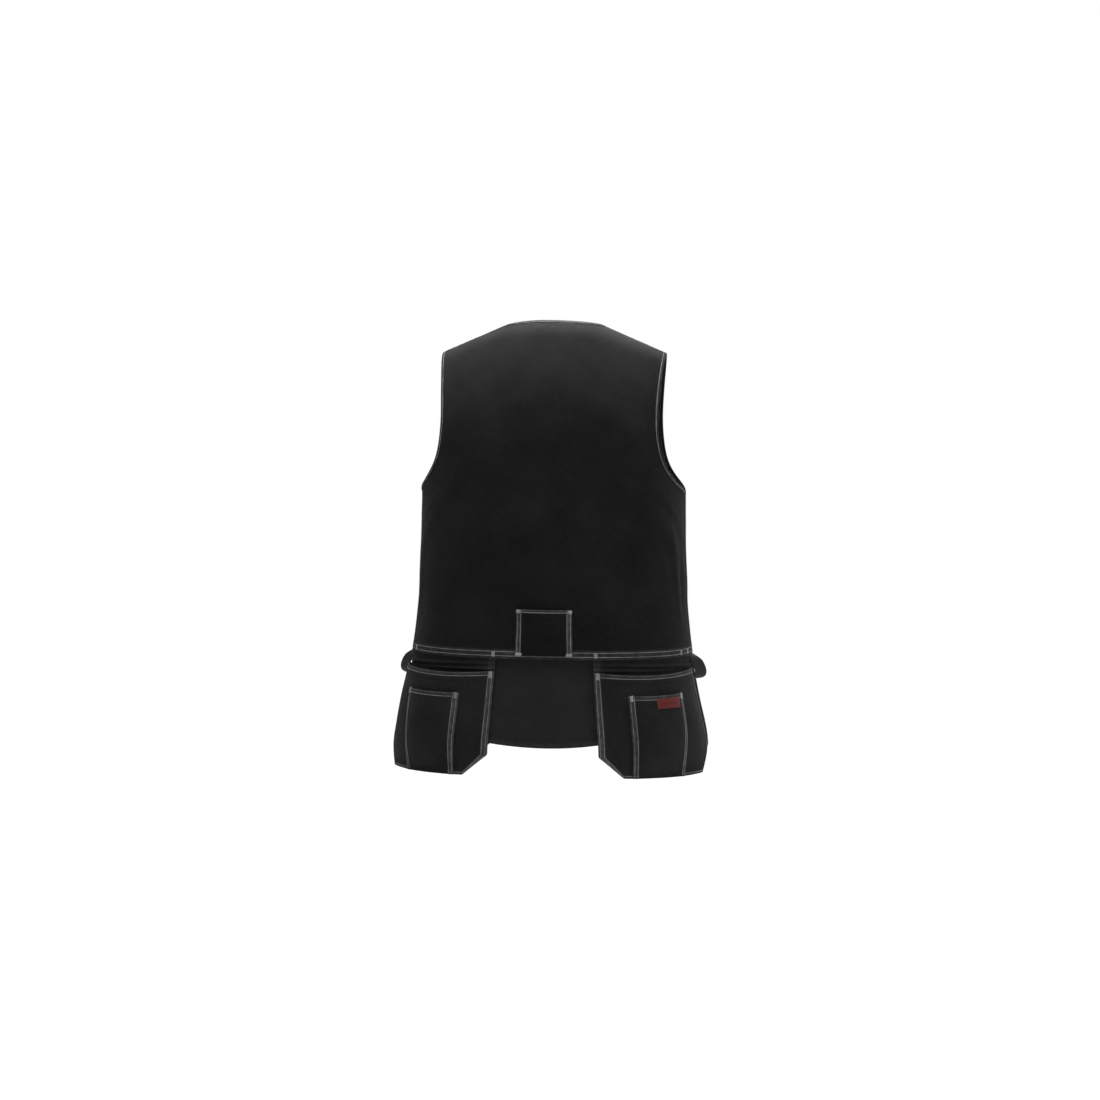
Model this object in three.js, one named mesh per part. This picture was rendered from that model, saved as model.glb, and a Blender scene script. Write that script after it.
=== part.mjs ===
import * as THREE from 'three';

// A utility work vest with hanging tool pouches, held open as it is when worn. Millimetres.
// +Z is up, +Y the wearer's front and +X the wearer's right. The origin is level with the top of
// the back neck, on the middle plane, half way between back and front.

// The worn form.
const vestHeight = 706;
const bodyHeight = 524;
const chestHalfBreadth = 213;
const chestHalfDepth = 130;
const cornerFullness = 0.03;

// Shoulders, neck and armholes.
const neckHalfWidth = 78;
const backNeckDrop = 5;
const neckPointDrop = 9;
const neckBackDepth = 64;
const frontNeckDrop = 150;
const shoulderHalfWidth = 173.5;
const shoulderTipDrop = 50;
const shoulderRoll = 150;
const armpitDrop = 272;
const armholeTurnIn = 0.1;
const armholeHollow = 4;

// Cloth and the clearance between neighbouring pieces.
const wall = 1.6;
const gap = 0.3;
const bindingWidth = 4.5;
const bindingProud = 0.9;
const hemTuck = 14;

// Zip down the front.
const zipHalfWidth = 6;
const zipThickness = 3;

// Hanging pouches and tail flap. Turns are degrees round from the middle of the back or front.
const turnStep = 6;
const pouchInnerTurn = 18;
const pouchOuterTurn = 78;
const pouchChamferTurn = 8.5;
const pouchChamferHeight = 32;
const pouchMouthDrop = bodyHeight + 22;
const pouchBulge = 17;
const swellSides = 2.5;
const swellRise = 1.4;
const seamTurn = 2.6;
const seamHeight = 7;
const flapHalfTurn = 24;
const flapDrop = bodyHeight + 137;
const flapCurve = 10;
const flapClearance = 0.7;

// Tool pocket on each rear pouch, and the cloth tab on the right one.
const toolPocketInnerTurn = 30;
const toolPocketOuterTurn = 54;
const toolPocketDrop = pouchMouthDrop + 33;
const toolPocketBulge = 10;
const tabInnerTurn = 40;
const tabOuterTurn = 50.5;
const tabTopDrop = toolPocketDrop + 4;
const tabHeight = 15;
const tabThickness = 0.8;

// Patch pocket at the middle of the back.
const backPocketHalfTurn = 10;
const backPocketBottomDrop = bodyHeight - 5;
const backPocketHeight = 70;
const backPocketBulge = 9;

// Webbing loop at each side.
const webbingWidth = 25;
const webbingThickness = 1.8;
const loopWidth = 22;
const loopHeight = 41;
const loopLean = 10;
const loopBelly = 0.65;
const loopClearance = 1.2;

// Breadth and depth of the form down its height: drop is a share of the vest's height,
// breadth and depth are shares of the chest's.
const sections = [
  { drop: 0.0, breadth: 0.98, depth: 0.98 },
  { drop: 0.39, breadth: 0.98, depth: 0.98 },
  { drop: 0.61, breadth: 1.0, depth: 1.0 },
  { drop: 0.74, breadth: 1.045, depth: 1.03 },
  { drop: 0.85, breadth: 1.12, depth: 1.07 },
  { drop: 0.94, breadth: 1.185, depth: 1.1 },
  { drop: 1.0, breadth: 1.2, depth: 1.12 },
];

// Soft folds of the body cloth: where each has its middle (turn in degrees, drop as a share of the
// body's height), its lean from upright in degrees, its half length and half width as shares of
// the chest's half breadth, and its height as a share of foldHeight, out or in.
const foldHeight = 2.5;
const foldFade = 56;
const folds = [
  { face: -1, turn: 56, drop: 0.62, lean: 52, length: 0.5, width: 0.08, height: 1 },
  { face: -1, turn: -58, drop: 0.6, lean: -52, length: 0.45, width: 0.08, height: 0.8 },
  { face: -1, turn: 40, drop: 0.42, lean: 35, length: 0.45, width: 0.12, height: 1 },
  { face: -1, turn: -30, drop: 0.8, lean: -20, length: 0.5, width: 0.14, height: -1.2 },
  { face: -1, turn: 30, drop: 0.82, lean: 18, length: 0.5, width: 0.13, height: -1.2 },
  { face: 1, turn: 55, drop: 0.6, lean: 50, length: 0.45, width: 0.1, height: 1 },
  { face: 1, turn: -55, drop: 0.62, lean: -50, length: 0.45, width: 0.1, height: 1 },
];

function plain(color, roughness) {
  return new THREE.MeshStandardMaterial({ color, roughness, metalness: 0 });
}

const black = plain(0x1b1b1d, 0.9);
const webbingBlack = plain(0x101012, 0.7);
const zipBlack = plain(0x18181a, 0.5);
const tabRed = plain(0xb3261e, 0.8);

const vest = new THREE.Group();
vest.name = 'utility_work_vest';

const radians = Math.PI / 180;
const shoulderSlope = (shoulderTipDrop - neckPointDrop) / (shoulderHalfWidth - neckHalfWidth);

function mix(from, to, share) {
  return from + (to - from) * share;
}

/** One column of the sections table, read smoothly and without overshoot at a share of the height. */
function readSection(column, share) {
  const slopes = sections.slice(1).map((row, i) => {
    const above = sections[i];
    return (row[column] - above[column]) / (row.drop - above.drop);
  });
  const tangents = sections.map((row, i) => {
    const before = slopes[Math.max(i - 1, 0)];
    const after = slopes[Math.min(i, slopes.length - 1)];
    return before * after > 0 ? (2 * before * after) / (before + after) : 0;
  });
  const clamped = Math.min(Math.max(share, 0), 1);
  const above = Math.min(sections.findLastIndex((row) => row.drop <= clamped), sections.length - 2);
  const span = sections[above + 1].drop - sections[above].drop;
  const t = (clamped - sections[above].drop) / span;
  const start = (1 + 2 * t) * (1 - t) ** 2 * sections[above][column];
  const end = t ** 2 * (3 - 2 * t) * sections[above + 1][column];
  const bend = t * (1 - t) ** 2 * tangents[above] - t ** 2 * (1 - t) * tangents[above + 1];
  return start + end + bend * span;
}

/** The level section's shape at a turn, as shares of its half breadth and depth, and its rates. */
function sectionShape(turn) {
  const angle = turn * radians;
  const scale = 1 / (1 - cornerFullness);
  return {
    across: (Math.sin(angle) + cornerFullness * Math.sin(3 * angle)) * scale,
    acrossRate: (Math.cos(angle) + 3 * cornerFullness * Math.cos(3 * angle)) * scale,
    deep: (Math.cos(angle) - cornerFullness * Math.cos(3 * angle)) * scale,
    deepRate: (-Math.sin(angle) + 3 * cornerFullness * Math.sin(3 * angle)) * scale,
  };
}

/** The turn at which the upper body is so far across, found by halving. */
function turnAtWidth(width) {
  const share = width / (chestHalfBreadth * readSection('breadth', 0));
  let low = 0;
  let high = 90;
  while (high - low > 1e-9) {
    const middle = (low + high) / 2;
    if (sectionShape(middle).across < share) low = middle;
    else high = middle;
  }
  return low;
}

/** Height of the ridge that the cloth rolls over, above a place so far across. */
function ridgeHeight(face, x) {
  const beyondNeck = Math.max(Math.abs(x) - neckHalfWidth, 0);
  const shoulder = -neckPointDrop - beyondNeck * shoulderSlope;
  if (face > 0 || beyondNeck > 0) return shoulder;
  const open = 1 - (x / neckHalfWidth) ** 2;
  const roll = shoulderRoll * (1 - Math.sqrt(1 - open * (neckBackDepth / chestHalfDepth) ** 2));
  return shoulder + (neckPointDrop - backNeckDrop) * open + roll;
}

/** Height of the cloth's upper edge: the neck edge, or the shoulder seam beyond it. */
function topEdgeHeight(face, x) {
  const inNeck = Math.max(1 - Math.abs(x) / neckHalfWidth, 0);
  if (inNeck === 0) return ridgeHeight(face, x);
  if (face < 0) return mix(-backNeckDrop, -neckPointDrop, (x / neckHalfWidth) ** 2);
  return -neckPointDrop - (frontNeckDrop - neckPointDrop) * inNeck;
}

/** How far the folds lift the cloth at a place on the body. */
function foldLift(face, turn, z) {
  const unit = chestHalfBreadth;
  let lift = 0;
  for (const fold of folds) {
    if (fold.face !== face) continue;
    const aside = (turn - fold.turn) * radians;
    const below = (-z - fold.drop * bodyHeight) / unit;
    const lean = fold.lean * radians;
    const along = (aside * Math.sin(lean) + below * Math.cos(lean)) / fold.length;
    const over = (aside * Math.cos(lean) - below * Math.sin(lean)) / fold.width;
    lift += fold.height * foldHeight * Math.exp(-(along ** 2) - over ** 2);
  }
  const aboveHem = (z + bodyHeight - 2 * hemTuck) / foldFade;
  return lift * Math.min(Math.max(aboveHem, 0), 1);
}

/** A place on the inner face of the worn form, with the direction straight out of it. */
function formPlace(face, turn, z) {
  const shape = sectionShape(turn);
  const share = -z / vestHeight;
  const breadth = chestHalfBreadth * readSection('breadth', share);
  const depth = chestHalfDepth * readSection('depth', share);
  const step = 0.5;
  const breadthAbove = chestHalfBreadth * readSection('breadth', share - step / vestHeight);
  const breadthRate = (breadthAbove - breadth) / step;
  const x = breadth * shape.across;
  const sunk = Math.min(Math.max((ridgeHeight(face, x) - z) / shoulderRoll, 0), 1);
  const rolled = Math.sqrt(2 * sunk - sunk ** 2);
  const ridgeRate = (ridgeHeight(face, x + step) - ridgeHeight(face, x - step)) / (2 * step);
  const sideways = new THREE.Vector3(
    breadth * shape.acrossRate,
    face * depth * shape.deepRate * rolled,
    sunk < 1 ? ridgeRate * breadth * shape.acrossRate : 0,
  );
  const upwards = new THREE.Vector3(
    rolled * breadthRate * shape.across,
    (-face * depth * shape.deep * (1 - sunk)) / shoulderRoll,
    rolled,
  );
  const normal = new THREE.Vector3().crossVectors(sideways, upwards).multiplyScalar(-face).normalize();
  const point = new THREE.Vector3(x, face * (depth * shape.deep * rolled + gap / 2), z);
  return { point, normal, lift: 0 };
}

/** The same place lifted by the body's folds. */
function bodyPlace(face, turn, z) {
  const place = formPlace(face, turn, z);
  place.point.addScaledVector(place.normal, foldLift(face, turn, z));
  return place;
}

function addMesh(name, corners, triangles, material) {
  let sixfoldVolume = 0;
  for (const [a, b, c] of triangles) {
    sixfoldVolume += new THREE.Vector3().crossVectors(corners[b], corners[c]).dot(corners[a]);
  }
  const facing = sixfoldVolume > 0 ? triangles : triangles.map(([a, b, c]) => [a, c, b]);
  const geometry = new THREE.BufferGeometry();
  const numbers = corners.flatMap((corner) => [corner.x, corner.y, corner.z]);
  geometry.setAttribute('position', new THREE.Float32BufferAttribute(numbers, 3));
  geometry.setIndex(facing.flat());
  const flat = geometry.toNonIndexed();
  flat.computeVertexNormals();
  const mesh = new THREE.Mesh(flat, material);
  mesh.name = name;
  vest.add(mesh);
}

/** A closed sheet over a grid of places, from one distance out of the form to another. */
function addSheet(name, grid, from, to, material) {
  const rows = grid.length;
  const columns = grid[0].length;
  const corners = [];
  for (const distance of [from, to]) {
    for (const place of grid.flat()) {
      corners.push(place.point.clone().addScaledVector(place.normal, distance + place.lift));
    }
  }
  const inner = (i, j) => i * columns + j;
  const outer = (i, j) => rows * columns + i * columns + j;
  const triangles = [];
  const addQuad = (a, b, c, d) => triangles.push([a, b, c], [a, c, d]);
  for (let i = 0; i < rows - 1; i++) {
    for (let j = 0; j < columns - 1; j++) {
      addQuad(inner(i, j), inner(i + 1, j), inner(i + 1, j + 1), inner(i, j + 1));
      triangles.push([outer(i, j), outer(i + 1, j + 1), outer(i + 1, j)]);
      triangles.push([outer(i, j), outer(i, j + 1), outer(i + 1, j + 1)]);
    }
    addQuad(inner(i, 0), outer(i, 0), outer(i + 1, 0), inner(i + 1, 0));
    const last = columns - 1;
    addQuad(inner(i, last), inner(i + 1, last), outer(i + 1, last), outer(i, last));
  }
  for (let j = 0; j < columns - 1; j++) {
    const last = rows - 1;
    addQuad(inner(0, j), inner(0, j + 1), outer(0, j + 1), outer(0, j));
    addQuad(inner(last, j), outer(last, j), outer(last, j + 1), inner(last, j + 1));
  }
  addMesh(name, corners, triangles, material);
}

/** A bound edge: a rounded band that runs on from the cloth, along stations each with a place on the
 * cloth's edge and one further into the cloth. */
function addBinding(name, stations, closed) {
  const count = stations.length;
  const corners = [];
  stations.forEach(({ edge, inside }, i) => {
    const before = stations[closed ? (i + count - 1) % count : Math.max(i - 1, 0)].edge.point;
    const after = stations[closed ? (i + 1) % count : Math.min(i + 1, count - 1)].edge.point;
    const run = after.clone().sub(before).normalize();
    const [outside, lining] = [wall, 0].map((distance) => {
      const at = edge.point.clone().addScaledVector(edge.normal, distance);
      const away = at.clone().sub(inside.point).addScaledVector(inside.normal, -distance);
      return { at, away: away.addScaledVector(run, -away.dot(run)).normalize() };
    });
    const corner = ({ at, away }, along, out) => {
      corners.push(at.clone().addScaledVector(away, along).addScaledVector(edge.normal, out));
    };
    corner(outside, gap, bindingProud);
    corner(outside, bindingWidth - bindingProud, bindingProud);
    corner(outside, bindingWidth, 0);
    corner(lining, bindingWidth, 0);
    corner(lining, bindingWidth - bindingProud, -bindingProud);
    corner(lining, gap, -bindingProud);
  });
  const around = 6;
  const triangles = [];
  for (let i = 0; i < (closed ? count : count - 1); i++) {
    for (let k = 0; k < around; k++) {
      const a = i * around + k;
      const b = i * around + ((k + 1) % around);
      const c = ((i + 1) % count) * around + ((k + 1) % around);
      const d = ((i + 1) % count) * around + k;
      triangles.push([a, b, c], [a, c, d]);
    }
  }
  if (!closed) {
    const end = (count - 1) * around;
    for (let k = 1; k < around - 1; k++) {
      triangles.push([0, k + 1, k], [end, end + k, end + k + 1]);
    }
  }
  addMesh(name, corners, triangles, black);
}

// Grid of the body panels. Columns run from the middle to the side, rows from hem to shoulder.
const sideColumns = 90 / turnStep;
const neckColumns = 5;
const lowerRows = 7;
const upperRows = 11;
const tuckTop = hemTuck - bodyHeight;
const shoulderTurn = turnAtWidth(shoulderHalfWidth);
const neckTurn = turnAtWidth(neckHalfWidth);
const zipEdgeTurn = turnAtWidth(zipHalfWidth + gap);

/** Turn of a panel column at a rise above the armpit, given as a share of the armhole's height. */
function columnTurn(face, column, rise) {
  const turnedIn = mix(90, shoulderTurn, 1 - Math.exp(-rise / armholeTurnIn));
  const edge = turnedIn - armholeHollow * Math.sin(Math.PI * rise);
  const neckShare = mix(neckColumns / sideColumns, neckTurn / shoulderTurn, rise);
  const number = Math.abs(column);
  const inNeck = number / neckColumns;
  const crowded = face > 0 ? mix(inNeck, 1 - (1 - inNeck) ** 2, rise) : inNeck;
  const share =
    number <= neckColumns
      ? crowded * neckShare
      : mix(neckShare, 1, (number - neckColumns) / (sideColumns - neckColumns));
  const turn = face > 0 ? Math.max(share * edge, zipEdgeTurn) : share * edge;
  return column < 0 ? -turn : turn;
}

/** Places of a panel, row by row from the hem, over the columns given, on the side given. */
function panelGrid(face, side, columns) {
  const grid = [];
  const armpit = -armpitDrop;
  const levels = [-bodyHeight];
  for (let row = 0; row < lowerRows; row++) {
    levels.push(mix(tuckTop, armpit, row / lowerRows));
  }
  for (const z of levels) {
    grid.push(columns.map((column) => bodyPlace(face, side * columnTurn(face, column, 0), z)));
  }
  for (let row = 0; row <= upperRows; row++) {
    const rise = (1 - Math.cos((Math.PI * row) / upperRows)) / 2;
    grid.push(
      columns.map((column) => {
        const turn = side * columnTurn(face, column, rise);
        const x = chestHalfBreadth * readSection('breadth', 0) * sectionShape(turn).across;
        return bodyPlace(face, turn, mix(armpit, topEdgeHeight(face, x), rise));
      }),
    );
  }
  return grid;
}

function columnRange(from, to) {
  return Array.from({ length: to - from + 1 }, (unused, i) => from + i);
}

// Body panels: one back and two fronts.
const backGrid = panelGrid(-1, 1, columnRange(-sideColumns, sideColumns));
addSheet('back_panel', backGrid, 0, wall, black);
const frontGrids = { left: null, right: null };
for (const [hand, side] of [['left', -1], ['right', 1]]) {
  frontGrids[hand] = panelGrid(1, side, columnRange(0, sideColumns));
  addSheet(`front_panel_${hand}`, frontGrids[hand], 0, wall, black);
}

// Zip: one plain strip between the fronts, from the hem to the bottom of the neck.
const zipRows = 9;
const zipTurn = turnAtWidth(zipHalfWidth);
const zipGrid = Array.from({ length: zipRows + 1 }, (unused, row) => {
  const z = mix(-bodyHeight, -frontNeckDrop - bindingWidth, row / zipRows);
  return [-zipTurn, 0, zipTurn].map((turn) => formPlace(1, turn, z));
});
addSheet('front_zip', zipGrid, (wall - zipThickness) / 2, (wall + zipThickness) / 2, zipBlack);

// Neck binding: up one front edge, round the back neck and down the other.
const topRow = backGrid.length - 1;
const neckStation = (grid, j) => ({ edge: grid[topRow][j], inside: grid[topRow - 1][j] });
const neckPoint = (grid) => ({
  edge: grid[topRow][neckColumns],
  inside: grid[topRow][neckColumns + 1],
});
const backNeckColumns = columnRange(sideColumns - neckColumns + 1, sideColumns + neckColumns - 1);
const frontNeckColumns = columnRange(0, neckColumns - 1);
const neckStations = [
  ...frontNeckColumns.map((j) => neckStation(frontGrids.left, j)),
  neckPoint(frontGrids.left),
  ...backNeckColumns.map((j) => neckStation(backGrid, j)),
  neckPoint(frontGrids.right),
  ...frontNeckColumns.reverse().map((j) => neckStation(frontGrids.right, j)),
];
addBinding('neck_binding', neckStations, false);

// Armhole bindings: up the back's edge from the armpit and down the front's.
for (const [hand, side] of [['left', -1], ['right', 1]]) {
  const front = frontGrids[hand];
  const edgeColumn = side < 0 ? 0 : 2 * sideColumns;
  const firstRow = topRow - upperRows;
  const backStation = (i) => ({
    edge: backGrid[i][edgeColumn],
    inside: backGrid[i][edgeColumn - side],
  });
  const frontStation = (i) => ({ edge: front[i][sideColumns], inside: front[i][sideColumns - 1] });
  const armpitStation = {
    edge: backGrid[firstRow][edgeColumn],
    inside: backGrid[firstRow - 1][edgeColumn],
  };
  const rows = columnRange(firstRow + 1, topRow);
  addBinding(
    `armhole_binding_${hand}`,
    [armpitStation, ...rows.map(backStation), ...rows.slice(0, -1).reverse().map(frontStation)],
    true,
  );
}

// Hanging cloth below the hem, in layers tucked up inside it.
const hangerOuter = -gap;
const hangerInner = hangerOuter - wall;
const pouchBottom = -vestHeight;
const pouchMouth = -pouchMouthDrop;
const toolPocketTop = -toolPocketDrop;
const chamferTop = pouchBottom + pouchChamferHeight;
const pouchLevels = [
  pouchBottom,
  pouchBottom + seamHeight,
  chamferTop,
  mix(chamferTop, toolPocketTop, 1 / 3),
  mix(chamferTop, toolPocketTop, 2 / 3),
  toolPocketTop,
  mix(toolPocketTop, pouchMouth, 1 / 2),
  pouchMouth,
];

/** A pouch column's turn, drawn in along the chamfers at the bottom corners. */
function chamferedTurn(turn, z) {
  const cut = Math.max(1 - (z - pouchBottom) / pouchChamferHeight, 0) * pouchChamferTurn;
  const innerShare = Math.max(toolPocketInnerTurn - turn, 0) / (toolPocketInnerTurn - pouchInnerTurn);
  const outerShare = Math.max(turn - toolPocketOuterTurn, 0) / (pouchOuterTurn - toolPocketOuterTurn);
  return turn + cut * (innerShare - outerShare);
}

/** Rise of a filled pocket's face over its seams, as a share: none at the sides and the bottom, full
 * in the middle and from well below the mouth up. */
function swell(across, up) {
  const side = Math.min(Math.max(across, 0), 1);
  const height = Math.min(Math.max(up, 0) * swellRise, 1);
  return (1 - Math.abs(2 * side - 1) ** swellSides) * Math.sin((Math.PI / 2) * height);
}

/** How far the pouch's face stands off its backing. */
function pouchLift(turn, z) {
  const breadth = pouchOuterTurn - pouchInnerTurn - 2 * seamTurn;
  const height = pouchMouth - pouchBottom - seamHeight;
  const across = (turn - pouchInnerTurn - seamTurn) / breadth;
  const up = (z - pouchBottom - seamHeight) / height;
  return pouchBulge * swell(across, up);
}

function pouchGrid(face, side, turns, levels, lift) {
  return levels.map((z) =>
    turns.map((turn) => ({ ...formPlace(face, side * chamferedTurn(turn, z), z), lift: lift(turn, z) })),
  );
}

const wholeTurns = columnRange(pouchInnerTurn / turnStep, pouchOuterTurn / turnStep)
  .map((number) => number * turnStep);
const seamedTurns = [
  pouchInnerTurn,
  pouchInnerTurn + seamTurn,
  ...wholeTurns.slice(1, -1),
  pouchOuterTurn - seamTurn,
  pouchOuterTurn,
];

/** A hanging pouch: a backing tucked under the hem and a face sewn to it round three sides. */
function addPouch(place, hand, face, side) {
  const backingLevels = [...pouchLevels, -bodyHeight, tuckTop];
  const backing = pouchGrid(face, side, wholeTurns, backingLevels, () => 0);
  addSheet(`${place}_pouch_backing_${hand}`, backing, hangerInner, hangerOuter, black);
  const bag = pouchGrid(face, side, seamedTurns, pouchLevels, pouchLift);
  addSheet(`${place}_pouch_face_${hand}`, bag, 0, wall, black);
}

/** The tool pocket on a rear pouch, caught in its bottom seam. */
function addToolPocket(hand, side) {
  const turns = wholeTurns.filter((turn) => turn >= toolPocketInnerTurn && turn <= toolPocketOuterTurn);
  const levels = pouchLevels.filter((z) => z <= toolPocketTop);
  const lift = (turn, z) => {
    const across = (turn - toolPocketInnerTurn) / (toolPocketOuterTurn - toolPocketInnerTurn);
    const up = (z - pouchBottom - seamHeight) / (toolPocketTop - pouchBottom - seamHeight);
    return pouchLift(turn, z) + toolPocketBulge * swell(across, up);
  };
  const base = wall + gap;
  addSheet(`tool_pocket_${hand}`, pouchGrid(-1, side, turns, levels, lift), base, base + wall, black);
  return lift;
}

for (const [hand, side] of [['left', -1], ['right', 1]]) {
  addPouch('rear', hand, -1, side);
  addPouch('front', hand, 1, side);
}
addToolPocket('left', -1);
const rightPocketLift = addToolPocket('right', 1);

/** The two limits, with those of the steps that lie between them. */
function within(from, to, steps) {
  return [from, ...steps.filter((step) => step > from && step < to), to];
}

// Plain cloth tab near the upper outer corner of the right tool pocket.
const tabTurns = within(tabInnerTurn, tabOuterTurn, wholeTurns);
const tabLevels = within(-tabTopDrop - tabHeight, -tabTopDrop, pouchLevels);
const tabGrid = pouchGrid(-1, 1, tabTurns, tabLevels, rightPocketLift);
const tabBase = 2 * (wall + gap);
addSheet('label_tab', tabGrid, tabBase, tabBase + tabThickness, tabRed);

// Tail flap between and behind the rear pouches, with a gently curved lower edge.
const flapOuter = hangerInner - flapClearance;
const flapRows = 6;
const flapTurns = columnRange(-flapHalfTurn / turnStep, flapHalfTurn / turnStep)
  .map((number) => number * turnStep);
const flapGrid = Array.from({ length: flapRows + 1 }, (unused, row) =>
  flapTurns.map((turn) => {
    const bottom = -flapDrop + flapCurve * (turn / flapHalfTurn) ** 2;
    const z = row === flapRows ? tuckTop : mix(bottom, -bodyHeight, row / (flapRows - 1));
    return formPlace(-1, turn, z);
  }),
);
addSheet('tail_flap', flapGrid, flapOuter - wall, flapOuter, black);

// Patch pocket at the middle of the back, just above the hem.
const backPocketCells = 4;
const backPocketGrid = columnRange(0, backPocketCells).map((row) =>
  columnRange(0, backPocketCells).map((column) => {
    const across = column / backPocketCells;
    const up = row / backPocketCells;
    const turn = mix(-backPocketHalfTurn, backPocketHalfTurn, across);
    const z = up * backPocketHeight - backPocketBottomDrop;
    return { ...bodyPlace(-1, turn, z), lift: backPocketBulge * swell(across, up) };
  }),
);
addSheet('back_pocket', backPocketGrid, wall + gap, 2 * wall + gap, black);

// Webbing loops: both ends are caught under the hem at the side seam, and the loop hangs below it
// and stands out from the side.
const loopSteps = 20;
const tuckedPlace = formPlace(-1, 90, tuckTop).point;
const hemPlace = formPlace(-1, 90, -bodyHeight).point;
for (const [hand, side] of [['left', -1], ['right', 1]]) {
  const plySpacing = (webbingThickness + gap) / 2;
  const inset = loopClearance + webbingThickness / 2 + plySpacing;
  const hanging = columnRange(0, loopSteps).map((step) => {
    const around = (2 * Math.PI * step) / loopSteps;
    const down = (1 - Math.cos(around)) / 2;
    const belly = Math.sin(around) * Math.sin(around / 2) * loopWidth * loopBelly;
    const x = hemPlace.x - inset + plySpacing * Math.cos(around / 2) + loopLean * down + belly;
    return { x, z: -bodyHeight - down * loopHeight };
  });
  const tucked = [1, -1].map((ply) => ({ x: tuckedPlace.x - inset + plySpacing * ply, z: tuckTop }));
  const path = [tucked[0], ...hanging, tucked[1]];
  const loopGrid = path.map(({ x, z }, i) => {
    const before = path[Math.max(i - 1, 0)];
    const after = path[Math.min(i + 1, path.length - 1)];
    const normal = new THREE.Vector3((before.z - after.z) * side, 0, after.x - before.x).normalize();
    return [-1, 1].map((end) => ({
      point: new THREE.Vector3(side * x, (end * webbingWidth) / 2, z),
      normal,
      lift: 0,
    }));
  });
  addSheet(`side_loop_${hand}`, loopGrid, -webbingThickness / 2, webbingThickness / 2, webbingBlack);
}

export default vest;
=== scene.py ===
import bpy
import numpy as np
from mathutils import Matrix, Vector


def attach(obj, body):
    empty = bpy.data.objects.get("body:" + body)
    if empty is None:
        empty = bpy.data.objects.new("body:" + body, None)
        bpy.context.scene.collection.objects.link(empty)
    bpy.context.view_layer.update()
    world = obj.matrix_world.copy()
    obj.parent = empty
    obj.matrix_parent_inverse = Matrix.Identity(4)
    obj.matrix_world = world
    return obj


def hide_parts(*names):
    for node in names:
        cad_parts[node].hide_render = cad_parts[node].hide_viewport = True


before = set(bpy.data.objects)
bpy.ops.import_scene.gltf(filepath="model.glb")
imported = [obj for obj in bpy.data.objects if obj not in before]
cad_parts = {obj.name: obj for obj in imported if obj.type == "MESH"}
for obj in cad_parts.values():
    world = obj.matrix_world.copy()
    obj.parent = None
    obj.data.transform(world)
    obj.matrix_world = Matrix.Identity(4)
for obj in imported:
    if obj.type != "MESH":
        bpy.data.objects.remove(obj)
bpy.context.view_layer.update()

# Back panel: one piece of heavy black cotton canvas from the hem to the shoulders. It hangs in the
# round of a chest, and its lower edge is turned up inside and sewn down with two rows of thread.
vest_height = 0.706
body_height = 0.524
chest_half_breadth = 0.213
chest_half_depth = 0.130
corner_fullness = 0.03
section_drops = np.array([0.0, 0.39, 0.61, 0.74, 0.85, 0.94, 1.0])
section_breadths = np.array([0.98, 0.98, 1.0, 1.045, 1.12, 1.185, 1.2])
section_depths = np.array([0.98, 0.98, 1.0, 1.03, 1.07, 1.1, 1.12])
neck_half_width = 0.078
neck_drop_behind = 0.005
neck_point_drop = 0.009
neck_depth_behind = 0.064
neck_drop_in_front = 0.150
shoulder_half_width = 0.1735
shoulder_tip_drop = 0.050
shoulder_roll = 0.150
armpit_drop = 0.272
armhole_turn_in = 0.1
armhole_hollow = 4.0
neck_share_of_panel = 1 / 3
cloth = 0.0016
clearance = 0.0003
hem_turned_up = 0.014
fold_fade = 0.056
shoulder_slope = (shoulder_tip_drop - neck_point_drop) / (shoulder_half_width - neck_half_width)


def mix(first, second, share):
    """The first value, the second, or a straight blend between them."""
    return first + (second - first) * share


def ramp(distance, start, width):
    """0 up to start and 1 from start + width on, with a smooth S between them."""
    t = np.clip((distance - start) / width, 0, 1)
    return t * t * (3 - 2 * t)


def strip(distance, start, end, soft=0.0012):
    """1 on a strip between two distances from an edge, with soft borders, and 0 beside it."""
    return ramp(distance, start - soft / 2, soft) * (1 - ramp(distance, end - soft / 2, soft))


def groove(distance, place, width=0.0009):
    """The dent that a row of stitches pulls into the cloth: a narrow bell, 1 deep at its place."""
    return np.exp(-(((distance - place) / width) ** 2))


def unit(vectors):
    """Vectors scaled to length one."""
    return vectors / np.maximum(np.linalg.norm(vectors, axis=-1, keepdims=True), 1e-12)


def lifted(place, out, height):
    """Places moved outwards by a height, and the directions out."""
    return place + out * height[..., None], out


def read_down(values, share):
    """A column of the level sections, read at a share of the height by cubic pieces. Each slope at
    a section is the harmonic mean of its neighbours', so the curve never overshoots."""
    slopes = np.diff(values) / np.diff(section_drops)
    before = np.concatenate([slopes[:1], slopes])
    after = np.concatenate([slopes, slopes[-1:]])
    rising = before * after > 0
    tangents = np.where(rising, 2 * before * after / np.where(rising, before + after, 1), 0)
    share = np.clip(share, 0, 1)
    row = np.clip(np.searchsorted(section_drops, share, side="right") - 1, 0, len(values) - 2)
    span = section_drops[row + 1] - section_drops[row]
    t = (share - section_drops[row]) / span
    start = (1 + 2 * t) * (1 - t) ** 2 * values[row]
    end = t**2 * (3 - 2 * t) * values[row + 1]
    bend = t * (1 - t) ** 2 * tangents[row] - t**2 * (1 - t) * tangents[row + 1]
    return start + end + bend * span


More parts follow.
